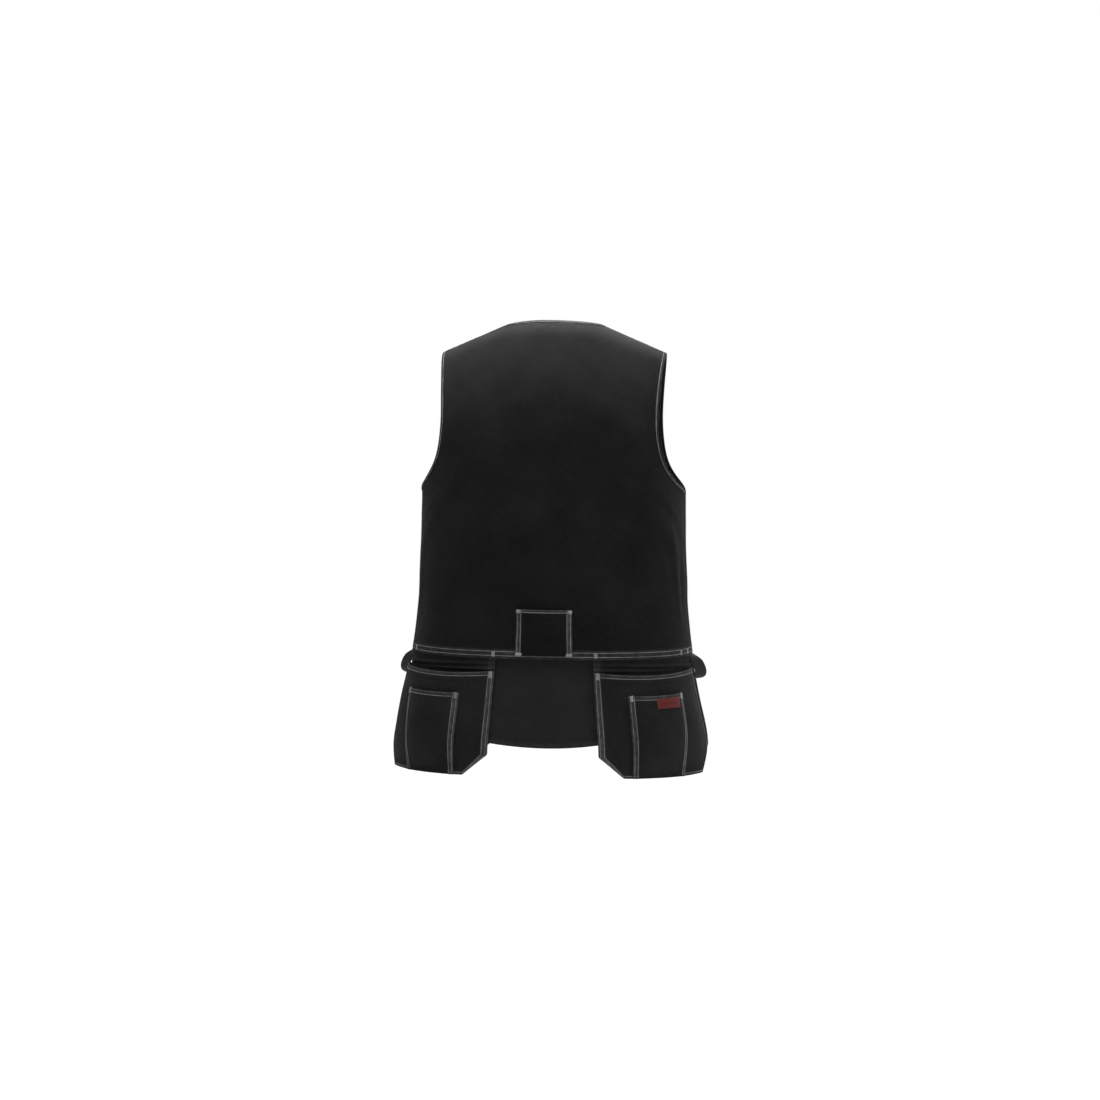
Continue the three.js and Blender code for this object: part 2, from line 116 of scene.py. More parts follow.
def round_of(turn):
    """The level section at a turn in degrees from its middle, as shares of its half breadth and
    half depth: sin + k sin 3 across and cos - k cos 3 deep. Gives both with their rates."""
    angle = np.radians(turn)
    full = 1 / (1 - corner_fullness)
    across = (np.sin(angle) + corner_fullness * np.sin(3 * angle)) * full
    across_rate = (np.cos(angle) + 3 * corner_fullness * np.cos(3 * angle)) * full
    deep = (np.cos(angle) - corner_fullness * np.cos(3 * angle)) * full
    deep_rate = (-np.sin(angle) + 3 * corner_fullness * np.sin(3 * angle)) * full
    return across, across_rate, deep, deep_rate


def ridge_height(face, x):
    """Height of the line that the cloth rolls over at the shoulder, above a place so far across.
    Behind the neck it rises, so that the cloth comes up to the neck edge at the right depth."""
    shoulder = -neck_point_drop - np.maximum(np.abs(x) - neck_half_width, 0) * shoulder_slope
    opened = np.maximum(1 - (x / neck_half_width) ** 2, 0) * (face < 0)
    closing = 1 - np.sqrt(1 - opened * (neck_depth_behind / chest_half_depth) ** 2)
    return shoulder + (neck_point_drop - neck_drop_behind) * opened + shoulder_roll * closing


def top_edge(face, x):
    """Height of the upper edge of a panel: the neck edge, or the shoulder seam beyond it."""
    in_neck = np.clip(1 - np.abs(x) / neck_half_width, 0, 1)
    behind = mix(-neck_drop_behind, -neck_point_drop, np.minimum((x / neck_half_width) ** 2, 1))
    before = -neck_point_drop - (neck_drop_in_front - neck_point_drop) * in_neck
    return np.where(in_neck > 0, np.where(face < 0, behind, before), ridge_height(face, x))


def worn_form(face, turn, height):
    """Places on the inner side of the worn shape, and the directions straight out of it. A level
    section is a rounded ellipse, and towards the shoulder ridge its depth closes as a quarter
    circle does. Face is -1 behind and 1 in front."""
    across, across_rate, deep, deep_rate = round_of(turn)
    step = 0.0005
    share = -height / vest_height
    breadth = chest_half_breadth * read_down(section_breadths, share)
    breadth_above = chest_half_breadth * read_down(section_breadths, share - step / vest_height)
    depth = chest_half_depth * read_down(section_depths, share)
    x = breadth * across
    sunk = np.clip((ridge_height(face, x) - height) / shoulder_roll, 0, 1)
    rolled = np.sqrt(2 * sunk - sunk**2)
    ridge_rate = (ridge_height(face, x + step) - ridge_height(face, x - step)) / (2 * step)
    sideways = np.stack(
        [
            breadth * across_rate,
            face * depth * deep_rate * rolled,
            np.where(sunk < 1, ridge_rate * breadth * across_rate, 0),
        ],
        axis=-1,
    )
    upwards = np.stack(
        [
            rolled * (breadth_above - breadth) / step * across,
            -face * depth * deep * (1 - sunk) / shoulder_roll,
            rolled,
        ],
        axis=-1,
    )
    out = unit(np.cross(sideways, upwards) * -np.expand_dims(face + 0 * x, -1))
    place = np.stack([x, face * (depth * deep * rolled + clearance / 2), height + 0 * x], axis=-1)
    return place, out


# Each fold: face, turn and drop of its middle, lean from upright, half length, half width, height.
body_folds = np.array(
    [
        [-1, 56, 0.62, 52, 0.50, 0.08, 0.0025],
        [-1, -58, 0.60, -52, 0.45, 0.08, 0.0020],
        [-1, 40, 0.42, 35, 0.45, 0.12, 0.0025],
        [-1, -30, 0.80, -20, 0.50, 0.14, -0.0030],
        [-1, 30, 0.82, 18, 0.50, 0.13, -0.0030],
        [1, 55, 0.60, 50, 0.45, 0.10, 0.0025],
        [1, -55, 0.62, -50, 0.45, 0.10, 0.0025],
        [-1, 62, 0.56, 60, 0.22, 0.035, 0.0012],
        [-1, -63, 0.57, -58, 0.24, 0.035, 0.0012],
        [-1, 66, 0.74, 12, 0.40, 0.05, 0.0020],
        [-1, 74, 0.80, 6, 0.35, 0.04, -0.0014],
        [-1, -70, 0.78, -10, 0.35, 0.05, 0.0014],
        [-1, -18, 0.30, -48, 0.45, 0.10, 0.0016],
        [-1, 22, 0.26, 55, 0.40, 0.09, 0.0014],
        [-1, 4, 0.52, 70, 0.50, 0.12, -0.0010],
        [1, 30, 0.50, 25, 0.40, 0.08, 0.0018],
        [1, -28, 0.55, -22, 0.42, 0.08, 0.0018],
        [1, 66, 0.80, 10, 0.35, 0.05, 0.0016],
        [1, -68, 0.78, -8, 0.35, 0.05, 0.0016],
    ]
)
ripple_height = 0.00045
ripple_per_degree = 0.0032


def fold_lift(face, turn, height):
    """How far the folds lift the body's cloth: a sum of long bells, each across its own line, and a
    slow ripple of crossed sine waves. Both fade out above the hem."""
    here = np.asarray(turn)[..., None]
    level = np.asarray(height)[..., None]
    on_face = body_folds[:, 0] == face
    _, middle, drop, lean, length, width, rise = body_folds[on_face].T
    aside = np.radians(here - middle)
    below = (-level - drop * body_height) / chest_half_breadth
    lean = np.radians(lean)
    along = (aside * np.sin(lean) + below * np.cos(lean)) / length
    over = (aside * np.cos(lean) - below * np.sin(lean)) / width
    bells = (rise * np.exp(-(along**2) - over**2)).sum(axis=-1)
    reach = np.asarray(turn) * ripple_per_degree
    ripple = np.sin(reach / 0.021 + 2.1 * np.sin(height / 0.047) + face)
    ripple = ripple * np.sin(height / 0.026 + 1.7 * np.sin(reach / 0.039))
    above_hem = np.clip((height + body_height - 2 * hem_turned_up) / fold_fade, 0, 1)
    return (bells + ripple_height * ripple) * above_hem


def body_surface(face, turn, height):
    """The inner side of the body's cloth, folds included, and the directions out of it."""
    place, out = worn_form(face, turn, height)
    return lifted(place, out, fold_lift(face, turn, height))


def turn_at_width(width):
    """The turn at which the upper body is so far across, read from a fine table."""
    turns = np.linspace(0, 90, 9001)
    return np.interp(width, chest_half_breadth * section_breadths[0] * round_of(turns)[0], turns)


shoulder_turn = turn_at_width(shoulder_half_width)
neck_turn = turn_at_width(neck_half_width)
zip_half_width = 0.006
zip_edge_turn = turn_at_width(zip_half_width + clearance)


def panel_turn(face, across, rise):
    """Turn of a panel's point from its share across, -1 to 1, and its rise from the armpit to the
    shoulder, 0 to 1. The edge comes in as 1 - exp(-rise / turn-in) does, then stays hollow."""
    edge = mix(90, shoulder_turn, 1 - np.exp(-rise / armhole_turn_in))
    edge = edge - armhole_hollow * np.sin(np.pi * rise)
    neck_share = mix(neck_share_of_panel, neck_turn / shoulder_turn, rise)
    reach = np.abs(across)
    in_neck = np.minimum(reach / neck_share_of_panel, 1)
    if face > 0:
        in_neck = mix(in_neck, 1 - (1 - in_neck) ** 2, rise)
    beyond = np.clip((reach - neck_share_of_panel) / (1 - neck_share_of_panel), 0, 1)
    share = in_neck * neck_share + beyond * (1 - neck_share)
    turn = share * edge
    if face > 0:
        turn = np.maximum(turn, zip_edge_turn)
    return np.sign(across) * turn


def panel_surface(face, across, up):
    """A body panel: up runs from 0 at the hem over 1 at the armpit to 2 at the neck and shoulder.
    Gives the places, the directions out, the turns and the heights."""
    rise = np.clip(up - 1, 0, 1)
    turn = panel_turn(face, across, rise)
    x = chest_half_breadth * section_breadths[0] * round_of(turn)[0]
    below = mix(-body_height, -armpit_drop, np.minimum(up, 1))
    height = np.where(up > 1, mix(-armpit_drop, top_edge(face, x), rise), below)
    place, out = body_surface(face, turn, height)
    return place, out, turn, height


def new_object(name, points, faces, material):
    """A smooth object from its places and faces, riding on the vest's one body."""
    mesh = bpy.data.meshes.new(name)
    mesh.from_pydata(points.tolist(), [], faces)
    mesh.polygons.foreach_set("use_smooth", np.ones(len(faces), bool))
    mesh.materials.append(material)
    mesh.update()
    made = bpy.data.objects.new(name, mesh)
    bpy.context.scene.collection.objects.link(made)
    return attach(made, "root")


def lay_flat(made, uvs, corners):
    """Gives each corner of an object's faces its flat place in the cloth, in metres."""
    layer = made.data.uv_layers.new(name="cloth")
    layer.data.foreach_set("uv", uvs[corners].astype(np.float32).ravel())


def make_mesh(name, points, faces, uvs, worn_and_lit, material):
    """A smooth closed mesh. It is turned round if its volume comes out negative."""
    corner = points[faces]
    middle = corner.mean(axis=1)
    area = np.cross(corner[:, 2] - corner[:, 0], corner[:, 3] - corner[:, 1])
    if (middle * area).sum() < 0:
        faces = faces[:, ::-1]
    made = new_object(name, points, faces.tolist(), material)
    lay_flat(made, uvs, faces.ravel())
    wear_and_highlight = made.data.attributes.new("wear_and_highlight", "FLOAT", "POINT")
    wear_and_highlight.data.foreach_set("value", worn_and_lit.astype(np.float32))
    return made


def make_cloth(name, outer, inner, worn_and_lit, rounded, material):
    """A closed sheet from two grids of places, its outer and its inner side. A half-round rim joins
    them; rounded says for the bottom, right, top and left edge whether the rim stands out."""
    rows, columns = outer.shape[:2]
    numbers = np.arange(rows * columns).reshape(rows, columns)
    ring = np.concatenate([numbers[0, :-1], numbers[:-1, -1], numbers[-1, :0:-1], numbers[:0:-1, 0]])
    row, column = ring // columns, ring % columns
    inside = np.clip(row, 1, rows - 2) * columns + np.clip(column, 1, columns - 2)
    flat_outer, flat_inner = outer.reshape(-1, 3), inner.reshape(-1, 3)
    middle = (flat_outer[ring] + flat_inner[ring]) / 2
    half = (flat_outer[ring] - flat_inner[ring]) / 2
    away = flat_outer[ring] - flat_outer[inside]
    normal = unit(half)
    away = unit(away - normal * (away * normal).sum(axis=-1, keepdims=True))
    counts = [columns - 1, rows - 1, columns - 1, rows - 1]
    bulge = np.repeat(np.array(rounded, float), counts) * np.linalg.norm(half, axis=-1)
    angles = np.pi * np.arange(1, 4) / 4
    rim = [middle + half * np.cos(a) + away * (bulge * np.sin(a))[:, None] for a in angles]
    points = np.concatenate([flat_outer, flat_inner, *rim])
    quads = np.stack(
        [numbers[:-1, :-1], numbers[:-1, 1:], numbers[1:, 1:], numbers[1:, :-1]], axis=-1
    ).reshape(-1, 4)
    size = rows * columns
    loops = [ring, *(2 * size + len(ring) * k + np.arange(len(ring)) for k in range(3)), ring + size]
    bands = [
        np.stack([b, np.roll(b, -1), np.roll(a, -1), a], axis=-1) for a, b in zip(loops, loops[1:])
    ]
    faces = np.concatenate([quads, quads[:, ::-1] + size, *bands])
    run = np.linalg.norm(np.diff(outer, axis=1), axis=-1)
    rise = np.linalg.norm(np.diff(outer, axis=0), axis=-1)
    u = np.concatenate([np.zeros((rows, 1)), np.cumsum(run, axis=1)], axis=1)
    v = np.concatenate([np.zeros((1, columns)), np.cumsum(rise, axis=0)], axis=0)
    u = u - u[:, columns // 2][:, None]
    flat = np.stack([u, v], axis=-1).reshape(-1, 2)
    flat_worn_and_lit = worn_and_lit.ravel()
    uvs = np.concatenate([flat, flat, *([flat[ring]] * 3)])
    wear_and_highlight = np.concatenate([flat_worn_and_lit, flat_worn_and_lit * 0.3, *([np.maximum(flat_worn_and_lit[ring], 0.8)] * 3)])
    return make_mesh(name, points, faces, uvs, wear_and_highlight, material)


def fill(tree, node, inputs):
    """Links each input of a node, by name or number, to a socket, or sets its value."""
    for key, value in inputs.items():
        if isinstance(value, bpy.types.NodeSocket):
            tree.links.new(value, node.inputs[key])
        else:
            node.inputs[key].default_value = value


def add_node(tree, kind, inputs=None, **settings):
    """A shader node with its settings and inputs."""
    made = tree.nodes.new(kind)
    for key, value in settings.items():
        setattr(made, key, value)
    fill(tree, made, inputs or {})
    return made


def new_material(name):
    """A material, with its tree of nodes and its shader."""
    made = bpy.data.materials.new(name)
    made.use_nodes = True
    return made, made.node_tree, made.node_tree.nodes["Principled BSDF"]


def flat_place(tree):
    """The flat place in the cloth, as a vector and as its two measures."""
    flat = add_node(tree, "ShaderNodeUVMap", uv_map="cloth").outputs[0]
    parts = add_node(tree, "ShaderNodeSeparateXYZ", {0: flat})
    return flat, parts.outputs[0], parts.outputs[1]


def object_place(tree):
    """The place in the vest's frame."""
    return add_node(tree, "ShaderNodeTexCoord").outputs["Object"]


def worn_and_lit_share(tree):
    """The piece's wear attribute: 1 where its cloth is rubbed most. On the body panels it also holds
    a painted highlight along the tops of the shoulders.
    """
    return add_node(tree, "ShaderNodeAttribute", attribute_name="wear_and_highlight").outputs["Fac"]


def add_bump(tree, height, strength, distance):
    """The bumpy normal that a height gives."""
    inputs = {"Strength": strength, "Distance": distance, "Height": height}
    return add_node(tree, "ShaderNodeBump", inputs).outputs[0]


def add_math(tree, operation, *values):
    """The output of a math node."""
    return add_node(tree, "ShaderNodeMath", dict(enumerate(values)), operation=operation).outputs[0]


def add_noise(tree, vector, scale, detail, roughness=0.55):
    """The output of a noise texture, about 0.5 on average."""
    inputs = {"Vector": vector, "Scale": scale, "Detail": detail, "Roughness": roughness}
    return add_node(tree, "ShaderNodeTexNoise", inputs).outputs[0]


def add_range(tree, value, low, high, to_low, to_high):
    """A value carried from one range to another, and held inside it."""
    inputs = {0: value, 1: low, 2: high, 3: to_low, 4: to_high}
    return add_node(tree, "ShaderNodeMapRange", inputs).outputs[0]


def add_mix(tree, share, first, second):
    """A blend of two colours."""
    inputs = {0: share, 6: first, 7: second}
    return add_node(tree, "ShaderNodeMix", inputs, data_type="RGBA").outputs[2]


def add_weave(tree, u, v, pitch):
    """Height of a plain weave: each yarn is a half wave |sin| across, and the sign of the two
    waves' product says which yarn lies on top."""
    turn = np.pi / pitch
    warp = add_math(tree, "SINE", add_math(tree, "MULTIPLY", u, turn))
    weft = add_math(tree, "SINE", add_math(tree, "MULTIPLY", v, turn))
    over = add_range(tree, add_math(tree, "MULTIPLY", warp, weft), -0.25, 0.25, 0, 1)
    on_top = add_math(tree, "MULTIPLY", add_math(tree, "ABSOLUTE", warp), over)
    under = add_math(tree, "SUBTRACT", 1.0, over)
    below = add_math(tree, "MULTIPLY", add_math(tree, "ABSOLUTE", weft), under)
    return add_math(tree, "ADD", on_top, below)


def canvas(name, dark, faded, rubbed_and_lit_tone, pitch=0.00075, sheen=0.04):
    """Dyed cotton canvas: a plain weave with slubs in the yarn, dye that has faded in soft patches,
    and paler cloth along the seams and edges, where the piece's wear attribute is high. On the body
    panels the same attribute and paler tone also paint a highlight along the tops of the shoulders,
    and the colour is darkened towards black where the yarns lie low, as painted shade between them."""
    made, tree, shader = new_material(name)
    flat, u, v = flat_place(tree)
    weave = add_weave(tree, u, v, pitch)
    along = add_node(tree, "ShaderNodeMapping", {0: flat, 3: (1.0, 0.12, 1.0)}).outputs[0]
    across = add_node(tree, "ShaderNodeMapping", {0: flat, 3: (0.12, 1.0, 1.0)}).outputs[0]
    slubs = add_math(
        tree, "ADD", add_noise(tree, along, 900.0, 2.0), add_noise(tree, across, 900.0, 2.0)
    )
    place = object_place(tree)
    patches = add_noise(tree, place, 11.0, 4.0, 0.6)
    mottle = add_noise(tree, place, 130.0, 3.0)
    rubbing = add_range(tree, mottle, 0.35, 0.65, 0.35, 1.0)
    rubbed_and_lit = add_math(tree, "MULTIPLY", worn_and_lit_share(tree), rubbing)
    fading = add_range(tree, patches, 0.35, 0.7, 0.0, 0.2)
    fading = add_math(tree, "ADD", fading, add_range(tree, slubs, 0.8, 1.2, 0.0, 0.15))
    cloth_colour = add_mix(tree, fading, (*dark, 1), (*faded, 1))
    # The rubbed tone is real wear on seams and edges, and on the body panels' shoulders a painted
    # highlight.
    cloth_colour = add_mix(tree, rubbed_and_lit, cloth_colour, (*rubbed_and_lit_tone, 1))
    # Painted shade: the colour is darkened towards black where the weave's yarns lie low.
    yarn_gap_painted_shade = add_range(tree, weave, 0.0, 0.8, 0.55, 1.0)
    colour = add_mix(tree, yarn_gap_painted_shade, (0, 0, 0, 1), cloth_colour)
    height = add_math(tree, "ADD", weave, add_math(tree, "MULTIPLY", slubs, 0.7))
    height = add_math(tree, "ADD", height, add_math(tree, "MULTIPLY", mottle, 0.8))
    surface = {
        "Base Color": colour,
        "Roughness": add_range(tree, mottle, 0.3, 0.7, 0.78, 0.92),
        "Normal": add_bump(tree, height, 0.55, 0.0003),
        "Specular IOR Level": 0.05,
        "Sheen Weight": sheen,
        "Sheen Roughness": 0.45,
        "Sheen Tint": (0.9, 0.92, 1.0, 1),
    }
    fill(tree, shader, surface)
    return made


def steps(*runs):
    """Numbers along a line in runs of (start, end, count), each run going on from the last."""
    parts = [np.linspace(start, end, count + 1)[1:] for start, end, count in runs]
    return np.concatenate([[runs[0][0]], *parts])


# Its third colour, the rubbed tone, is also the painted highlight along the shoulders.
body_canvas = canvas(
    "black_canvas", (0.0026, 0.0026, 0.0026), (0.0200, 0.0200, 0.0198), (0.048, 0.048, 0.048)
)
lower_body = body_height - armpit_drop
hem_rows = (0.0035, 0.0100)
hem_thickness = 0.0005
hem_depth = 0.0125
seam_dent = 0.00022
pucker_height = 0.00022
per_degree = 0.0037
armhole_reach = 0.17
shoulder_reach = 0.16
half_columns = steps((0, neck_share_of_panel, 26), (neck_share_of_panel, 0.955, 46), (0.955, 1, 8))
panel_rows = np.concatenate(
    [
        steps((0, 0.06, 12), (0.06, 1, 62)),
        1 + (1 - np.cos(np.pi * np.arange(1, 97) / 96)) / 2,
    ]
)


def dented(relief, distance, rows, depth=seam_dent):
    """A relief with the dents of its rows of stitches, at distances from an edge."""
    for row in rows:
        relief = relief - depth * groove(distance, row)
    return relief


def panel_relief(face, turn, height):
    """Extra thickness of a panel: the turned-up hem, dented by its two rows of stitches. Under the
    patch pocket behind, the hem is pressed flat."""
    above = height + body_height
    hem = dented(hem_thickness * (1 - ramp(above, hem_depth, 0.0015)), above, hem_rows)
    hem = hem * (ramp(np.abs(turn), 9, 3) if face < 0 else 1)
    return hem + pucker(turn * per_degree, above - 0.012, 0.016)


def pucker(along, away, reach):
    """Small slanting ripples that a row of stitches draws up in the cloth, dying out away from it."""
    wave = np.sin(along / 0.0017 + away / 0.0031) * np.sin(along / 0.0113 + 0.8)
    return pucker_height * wave * np.exp(-((away / reach) ** 2))


def panel_outside(face, across, up):
    """The outer side of a body panel."""
    place, out, turn, height = panel_surface(face, across, up)
    relief = panel_relief(face, turn, height)
    from_shoulder = np.maximum(2 - up, 0) * shoulder_reach
    relief = relief + pucker(turn * per_degree, from_shoulder, 0.0025)
    from_armhole = (1 - np.abs(across)) * armhole_reach
    relief = relief + pucker(height, from_armhole, 0.012) * ramp(up, 0.95, 0.1)
    return lifted(place, out, cloth + relief)


def panel_wear_and_highlight(face, across, up):
    """Where a body panel is paler: rubbed along the hem and, less, at the top, where the cloth rolls
    over the shoulders facing up. The paler top is a painted highlight from the light above.
    """
    _, _, turn, height = panel_surface(face, across, up)
    hem = strip(height + body_height, -0.001, 0.013, 0.003)
    # The 0.35 along the top rows paints a highlight on the up-facing shoulders.
    return np.maximum(0.55 * hem, 0.35 * ramp(up, 1.9, 0.1))


across, up = np.meshgrid(np.concatenate([-half_columns[:0:-1], half_columns]), panel_rows)
back_outer, _ = panel_outside(-1, across, up)
back_inner = panel_surface(-1, across, up)[0]
back_panel = make_cloth(
    "back_panel_cloth",
    back_outer,
    back_inner,
    panel_wear_and_highlight(-1, across, up),
    (1, 0, 0, 0),
    body_canvas,
)
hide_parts("back_panel")

# Stitching: contrast thread, a thick grey cotton and polyester twist, sewn by machine in stitches of
# about 3 mm. Each stitch is a short fat thread whose ends dive into the cloth. Bar tacks are the
# same thread, sewn to and fro in a small pad where a pocket corner takes strain.
thread_radius = 0.00036
stitch_pitch = 0.0031
stitch_length = 0.0025
bar_width = 0.0058
thread_grey = (0.27, 0.27, 0.265)
# The darker thread colour holds both dirt and the painted shade in the grooves between plies.
thread_dirt_and_shadow = (0.11, 0.11, 0.11)


def thread_material(name, light, dirt_and_shadow):
    """Twisted thread: fine slanting plies in the bump, and a little dirt in the colour. The grooves
    between the plies are darkened towards the same darker colour as painted shade.
    """
    made, tree, shader = new_material(name)
    _, u, v = flat_place(tree)
    twist = add_math(tree, "ADD", u, add_math(tree, "MULTIPLY", v, 0.6))
    plies = add_math(tree, "SINE", add_math(tree, "MULTIPLY", twist, 2 * np.pi / 0.0006))
    place = object_place(tree)
    dirt = add_range(tree, add_noise(tree, place, 60.0, 3.0), 0.35, 0.65, 0.0, 0.7)
    # Painted shade in the grooves between the plies.
    ply_groove_painted_shade = add_range(tree, plies, -1.0, 1.0, 0.25, 0.0)
    colour = add_mix(tree, add_math(tree, "MAXIMUM", dirt, ply_groove_painted_shade), (*light, 1), (*dirt_and_shadow, 1))
    surface = {
        "Base Color": colour,
        "Roughness": 0.7,
        "Normal": add_bump(tree, plies, 0.4, 0.0001),
        "Specular IOR Level": 0.3,
    }
    fill(tree, shader, surface)
    return made


thread = thread_material("grey_thread", thread_grey, thread_dirt_and_shadow)


def thread_piece(length, radius):
    """One stitch lying along X: rings of five points, thick in the middle, thin and sunk at the
    ends. Gives its points, its quads and the flat places for the pattern."""
    shares = np.array([-0.5, -0.3, 0.3, 0.5])
    thick = np.array([0.45, 1.0, 1.0, 0.45]) * radius
    raised = np.array([-0.7, 0.55, 0.55, -0.7]) * radius
    angles = 2 * np.pi * np.arange(5) / 5 + np.pi / 2
    points = np.stack(
        [
            np.repeat(shares * length, 5).reshape(4, 5),
            thick[:, None] * np.cos(angles),
            raised[:, None] + thick[:, None] * np.sin(angles),
        ],
        axis=-1,
    )
    ring, side = np.meshgrid(np.arange(3), np.arange(5), indexing="ij")
    following = (side + 1) % 5
    quads = np.stack(
        [ring * 5 + side, ring * 5 + following, (ring + 1) * 5 + following, (ring + 1) * 5 + side],
        axis=-1,
    ).reshape(-1, 4)
    flat = np.stack([points[..., 0], np.broadcast_to(angles, (4, 5)) * radius], axis=-1)
    return points.reshape(-1, 3), quads, flat.reshape(-1, 2)


def place_threads(name, middles, along, out, lengths, radius, material):
    """Copies of one stitch at the given middles, each turned along its own direction, with up
    pointing out of the cloth and its length stretched to fit."""
    points, quads, flat = thread_piece(1.0, radius)
    along = unit(along)
    across = unit(np.cross(out, along))
    out = np.cross(along, across)
    stretched = points[None, :, :] * np.stack(
        [lengths, np.ones_like(lengths), np.ones_like(lengths)], axis=-1
    )[:, None, :]
    laid = (
        middles[:, None, :]
        + stretched[..., :1] * along[:, None, :]
        + stretched[..., 1:2] * across[:, None, :]
        + stretched[..., 2:] * out[:, None, :]
    )
    count, size = len(middles), len(points)
    first = np.arange(count)[:, None, None] * size
    mesh_quads = (quads[None] + first).reshape(-1, 4)
    ends = np.array([[0, 4, 3, 2, 1], [15, 16, 17, 18, 19]])
    mesh_ends = (ends[None] + first).reshape(-1, 5)
    uvs = np.tile(flat, (count, 1)) * np.array([np.mean(lengths), 1.0])
    faces = mesh_quads.tolist() + mesh_ends.tolist()
    made = new_object(name, laid.reshape(-1, 3), faces, material)
    lay_flat(made, uvs, np.concatenate([mesh_quads.ravel(), mesh_ends.ravel()]))
    return made


def along_line(points, out, pitch):
    """Middles, directions and outward directions of stitches spaced evenly along a line."""
    run = np.concatenate([[0], np.cumsum(np.linalg.norm(np.diff(points, axis=0), axis=1))])
    count = max(int(round(run[-1] / pitch)), 1)
    middles = (np.arange(count) + 0.5) * run[-1] / count
    step = run[-1] / count * 0.4

    def read(values, at):
        return np.stack([np.interp(at, run, values[:, k]) for k in range(3)], axis=-1)

    direction = read(points, middles + step) - read(points, middles - step)
    return read(points, middles), direction, read(out, middles)


def sew(name, seams, bars=(), material=thread):
    """Rows of stitches and bar tacks as one piece. A seam is a line of places and the directions
    out of the cloth; a bar is its middle, the direction it runs, the direction out and its length."""
    middles, along, out, lengths = [], [], [], []
    for points, outward in seams:
        here, direction, up_here = along_line(points, outward, stitch_pitch)
        middles.append(here)
        along.append(direction)
        out.append(up_here)
        lengths.append(np.full(len(here), stitch_length))
    for middle, direction, outward, length in bars:
        outward = unit(np.asarray(outward, float))
        direction = unit(np.asarray(direction, float))
        across = np.cross(outward, direction)
        count = int(length / (1.5 * thread_radius))
        spots = (np.arange(count) + 0.5) / count - 0.5
        slant = np.where(np.arange(count) % 2 == 0, 0.35, -0.35)
        middles.append(
            middle + spots[:, None] * length * direction + outward * thread_radius * 0.6
        )
        along.append(across + slant[:, None] * direction * 0.6)
        out.append(np.repeat(outward[None], count, axis=0))
        lengths.append(np.full(count, bar_width))
    laid = [np.concatenate(parts) for parts in (middles, along, out, lengths)]
    return place_threads(name, *laid, thread_radius, material)


def panel_line(face, across, up):
    """A line on the outer side of a body panel, and the directions out along it."""
    across, up = np.broadcast_arrays(np.asarray(across, float), np.asarray(up, float))
    return panel_outside(face, across, up)


hem_seams = [panel_line(-1, np.linspace(-0.985, 0.985, 500), row / lower_body) for row in hem_rows]
sew("back_hem_stitching", hem_seams)

# Front panels: two plain fronts of the same canvas, hidden in the photograph, with the neck cut in a
# V. Each has a straight edge beside the zip, turned in and sewn once.
zip_row = 0.0145
at_middle = 1e-6
for hand, side in (("left", -1), ("right", 1)):
    across, up = np.meshgrid(side * np.maximum(half_columns, at_middle), panel_rows)
    outer, _ = panel_outside(1, across, up)
    inner = panel_surface(1, across, up)[0]
    front = make_cloth(
        f"front_panel_{hand}_cloth",
        outer,
        inner,
        panel_wear_and_highlight(1, across, up),
        (1, 0, 0, 0),
        body_canvas,
    )
    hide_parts(f"front_panel_{hand}")
    hem_lines = [
        panel_line(1, side * np.linspace(0.03, 0.985, 260), row / lower_body) for row in hem_rows
    ]
    up_the_front = np.linspace(0.004 - body_height, top_edge(1, zip_row) - 0.012, 200)
    zip_line, zip_out = body_surface(1, side * turn_at_width(zip_row), up_the_front)
    beside_zip = (zip_line + zip_out * (cloth + 0.0002), zip_out)
    sew(f"front_panel_{hand}_stitching", [*hem_lines, beside_zip])

# Side and shoulder seams: the back's canvas is lapped over the front's and felled, so that a narrow
# double band with two rows of stitches covers each join.
seam_behind = 0.0085
seam_before = 0.0025
seam_thickness = 0.0008
seam_stitches = (0.0022, 0.0068)
pocket_dent = 0.0002
seam_end = 0.002


def side_seam_surface(side, over, height):
    """The band down the side: over is the distance round the form from the join, behind it below 0."""
    face = np.where(over < 0, -1, 1)
    depth = chest_half_depth * read_down(section_depths, -height / vest_height)
    around = depth * (1 + 3 * corner_fullness) / (1 - corner_fullness) * np.pi / 180
    turn = side * (90 - np.abs(over) / around)
    place, out = worn_form(face, turn, height)
    lift = np.where(face < 0, fold_lift(-1, turn, height), fold_lift(1, turn, height))
    return lifted(place, out, lift)


def shoulder_seam_surface(side, over, reach):
    """The band along the shoulder: reach is the distance across from the middle, and over the
    distance from the ridge, where the depth closes as a quarter circle does."""
    face = np.where(over < 0, -1, 1)
    turn = turn_at_width(reach)
    depth = chest_half_depth * section_depths[0] * round_of(turn)[2]
    rolled = np.abs(over) / depth
    height = ridge_height(face, reach) - (1 - np.sqrt(1 - rolled**2)) * shoulder_roll
    return worn_form(face, side * turn, height)


def seam_band(name, surface, place):
    """A felled band on a surface, with its rows of stitches, as two pieces."""
    over = np.linspace(-seam_behind, seam_before, 19)
    over_grid, place_grid = np.meshgrid(over, place)
    base, out = surface(over_grid, place_grid)
    edge = np.minimum(over_grid - over[0], over[-1] - over_grid)
    raised = seam_thickness * ramp(edge, -0.0006, 0.0012)
    raised = dented(raised, -over_grid, seam_stitches, pocket_dent)
    band = make_cloth(
        name,
        base + out * (cloth + raised)[..., None],
        base + out * (cloth - 0.0002),
        0.75 * strip(edge, -1, 1) * np.ones_like(edge),
        (0, 0, 0, 0),
        body_canvas,
    )
    seams = []
    for row in seam_stitches:
        line, outward = surface(np.full_like(place, -row), place)
        seams.append((line + outward * (cloth + seam_thickness - 0.0001), outward))
    sew(name + "_stitching", seams)


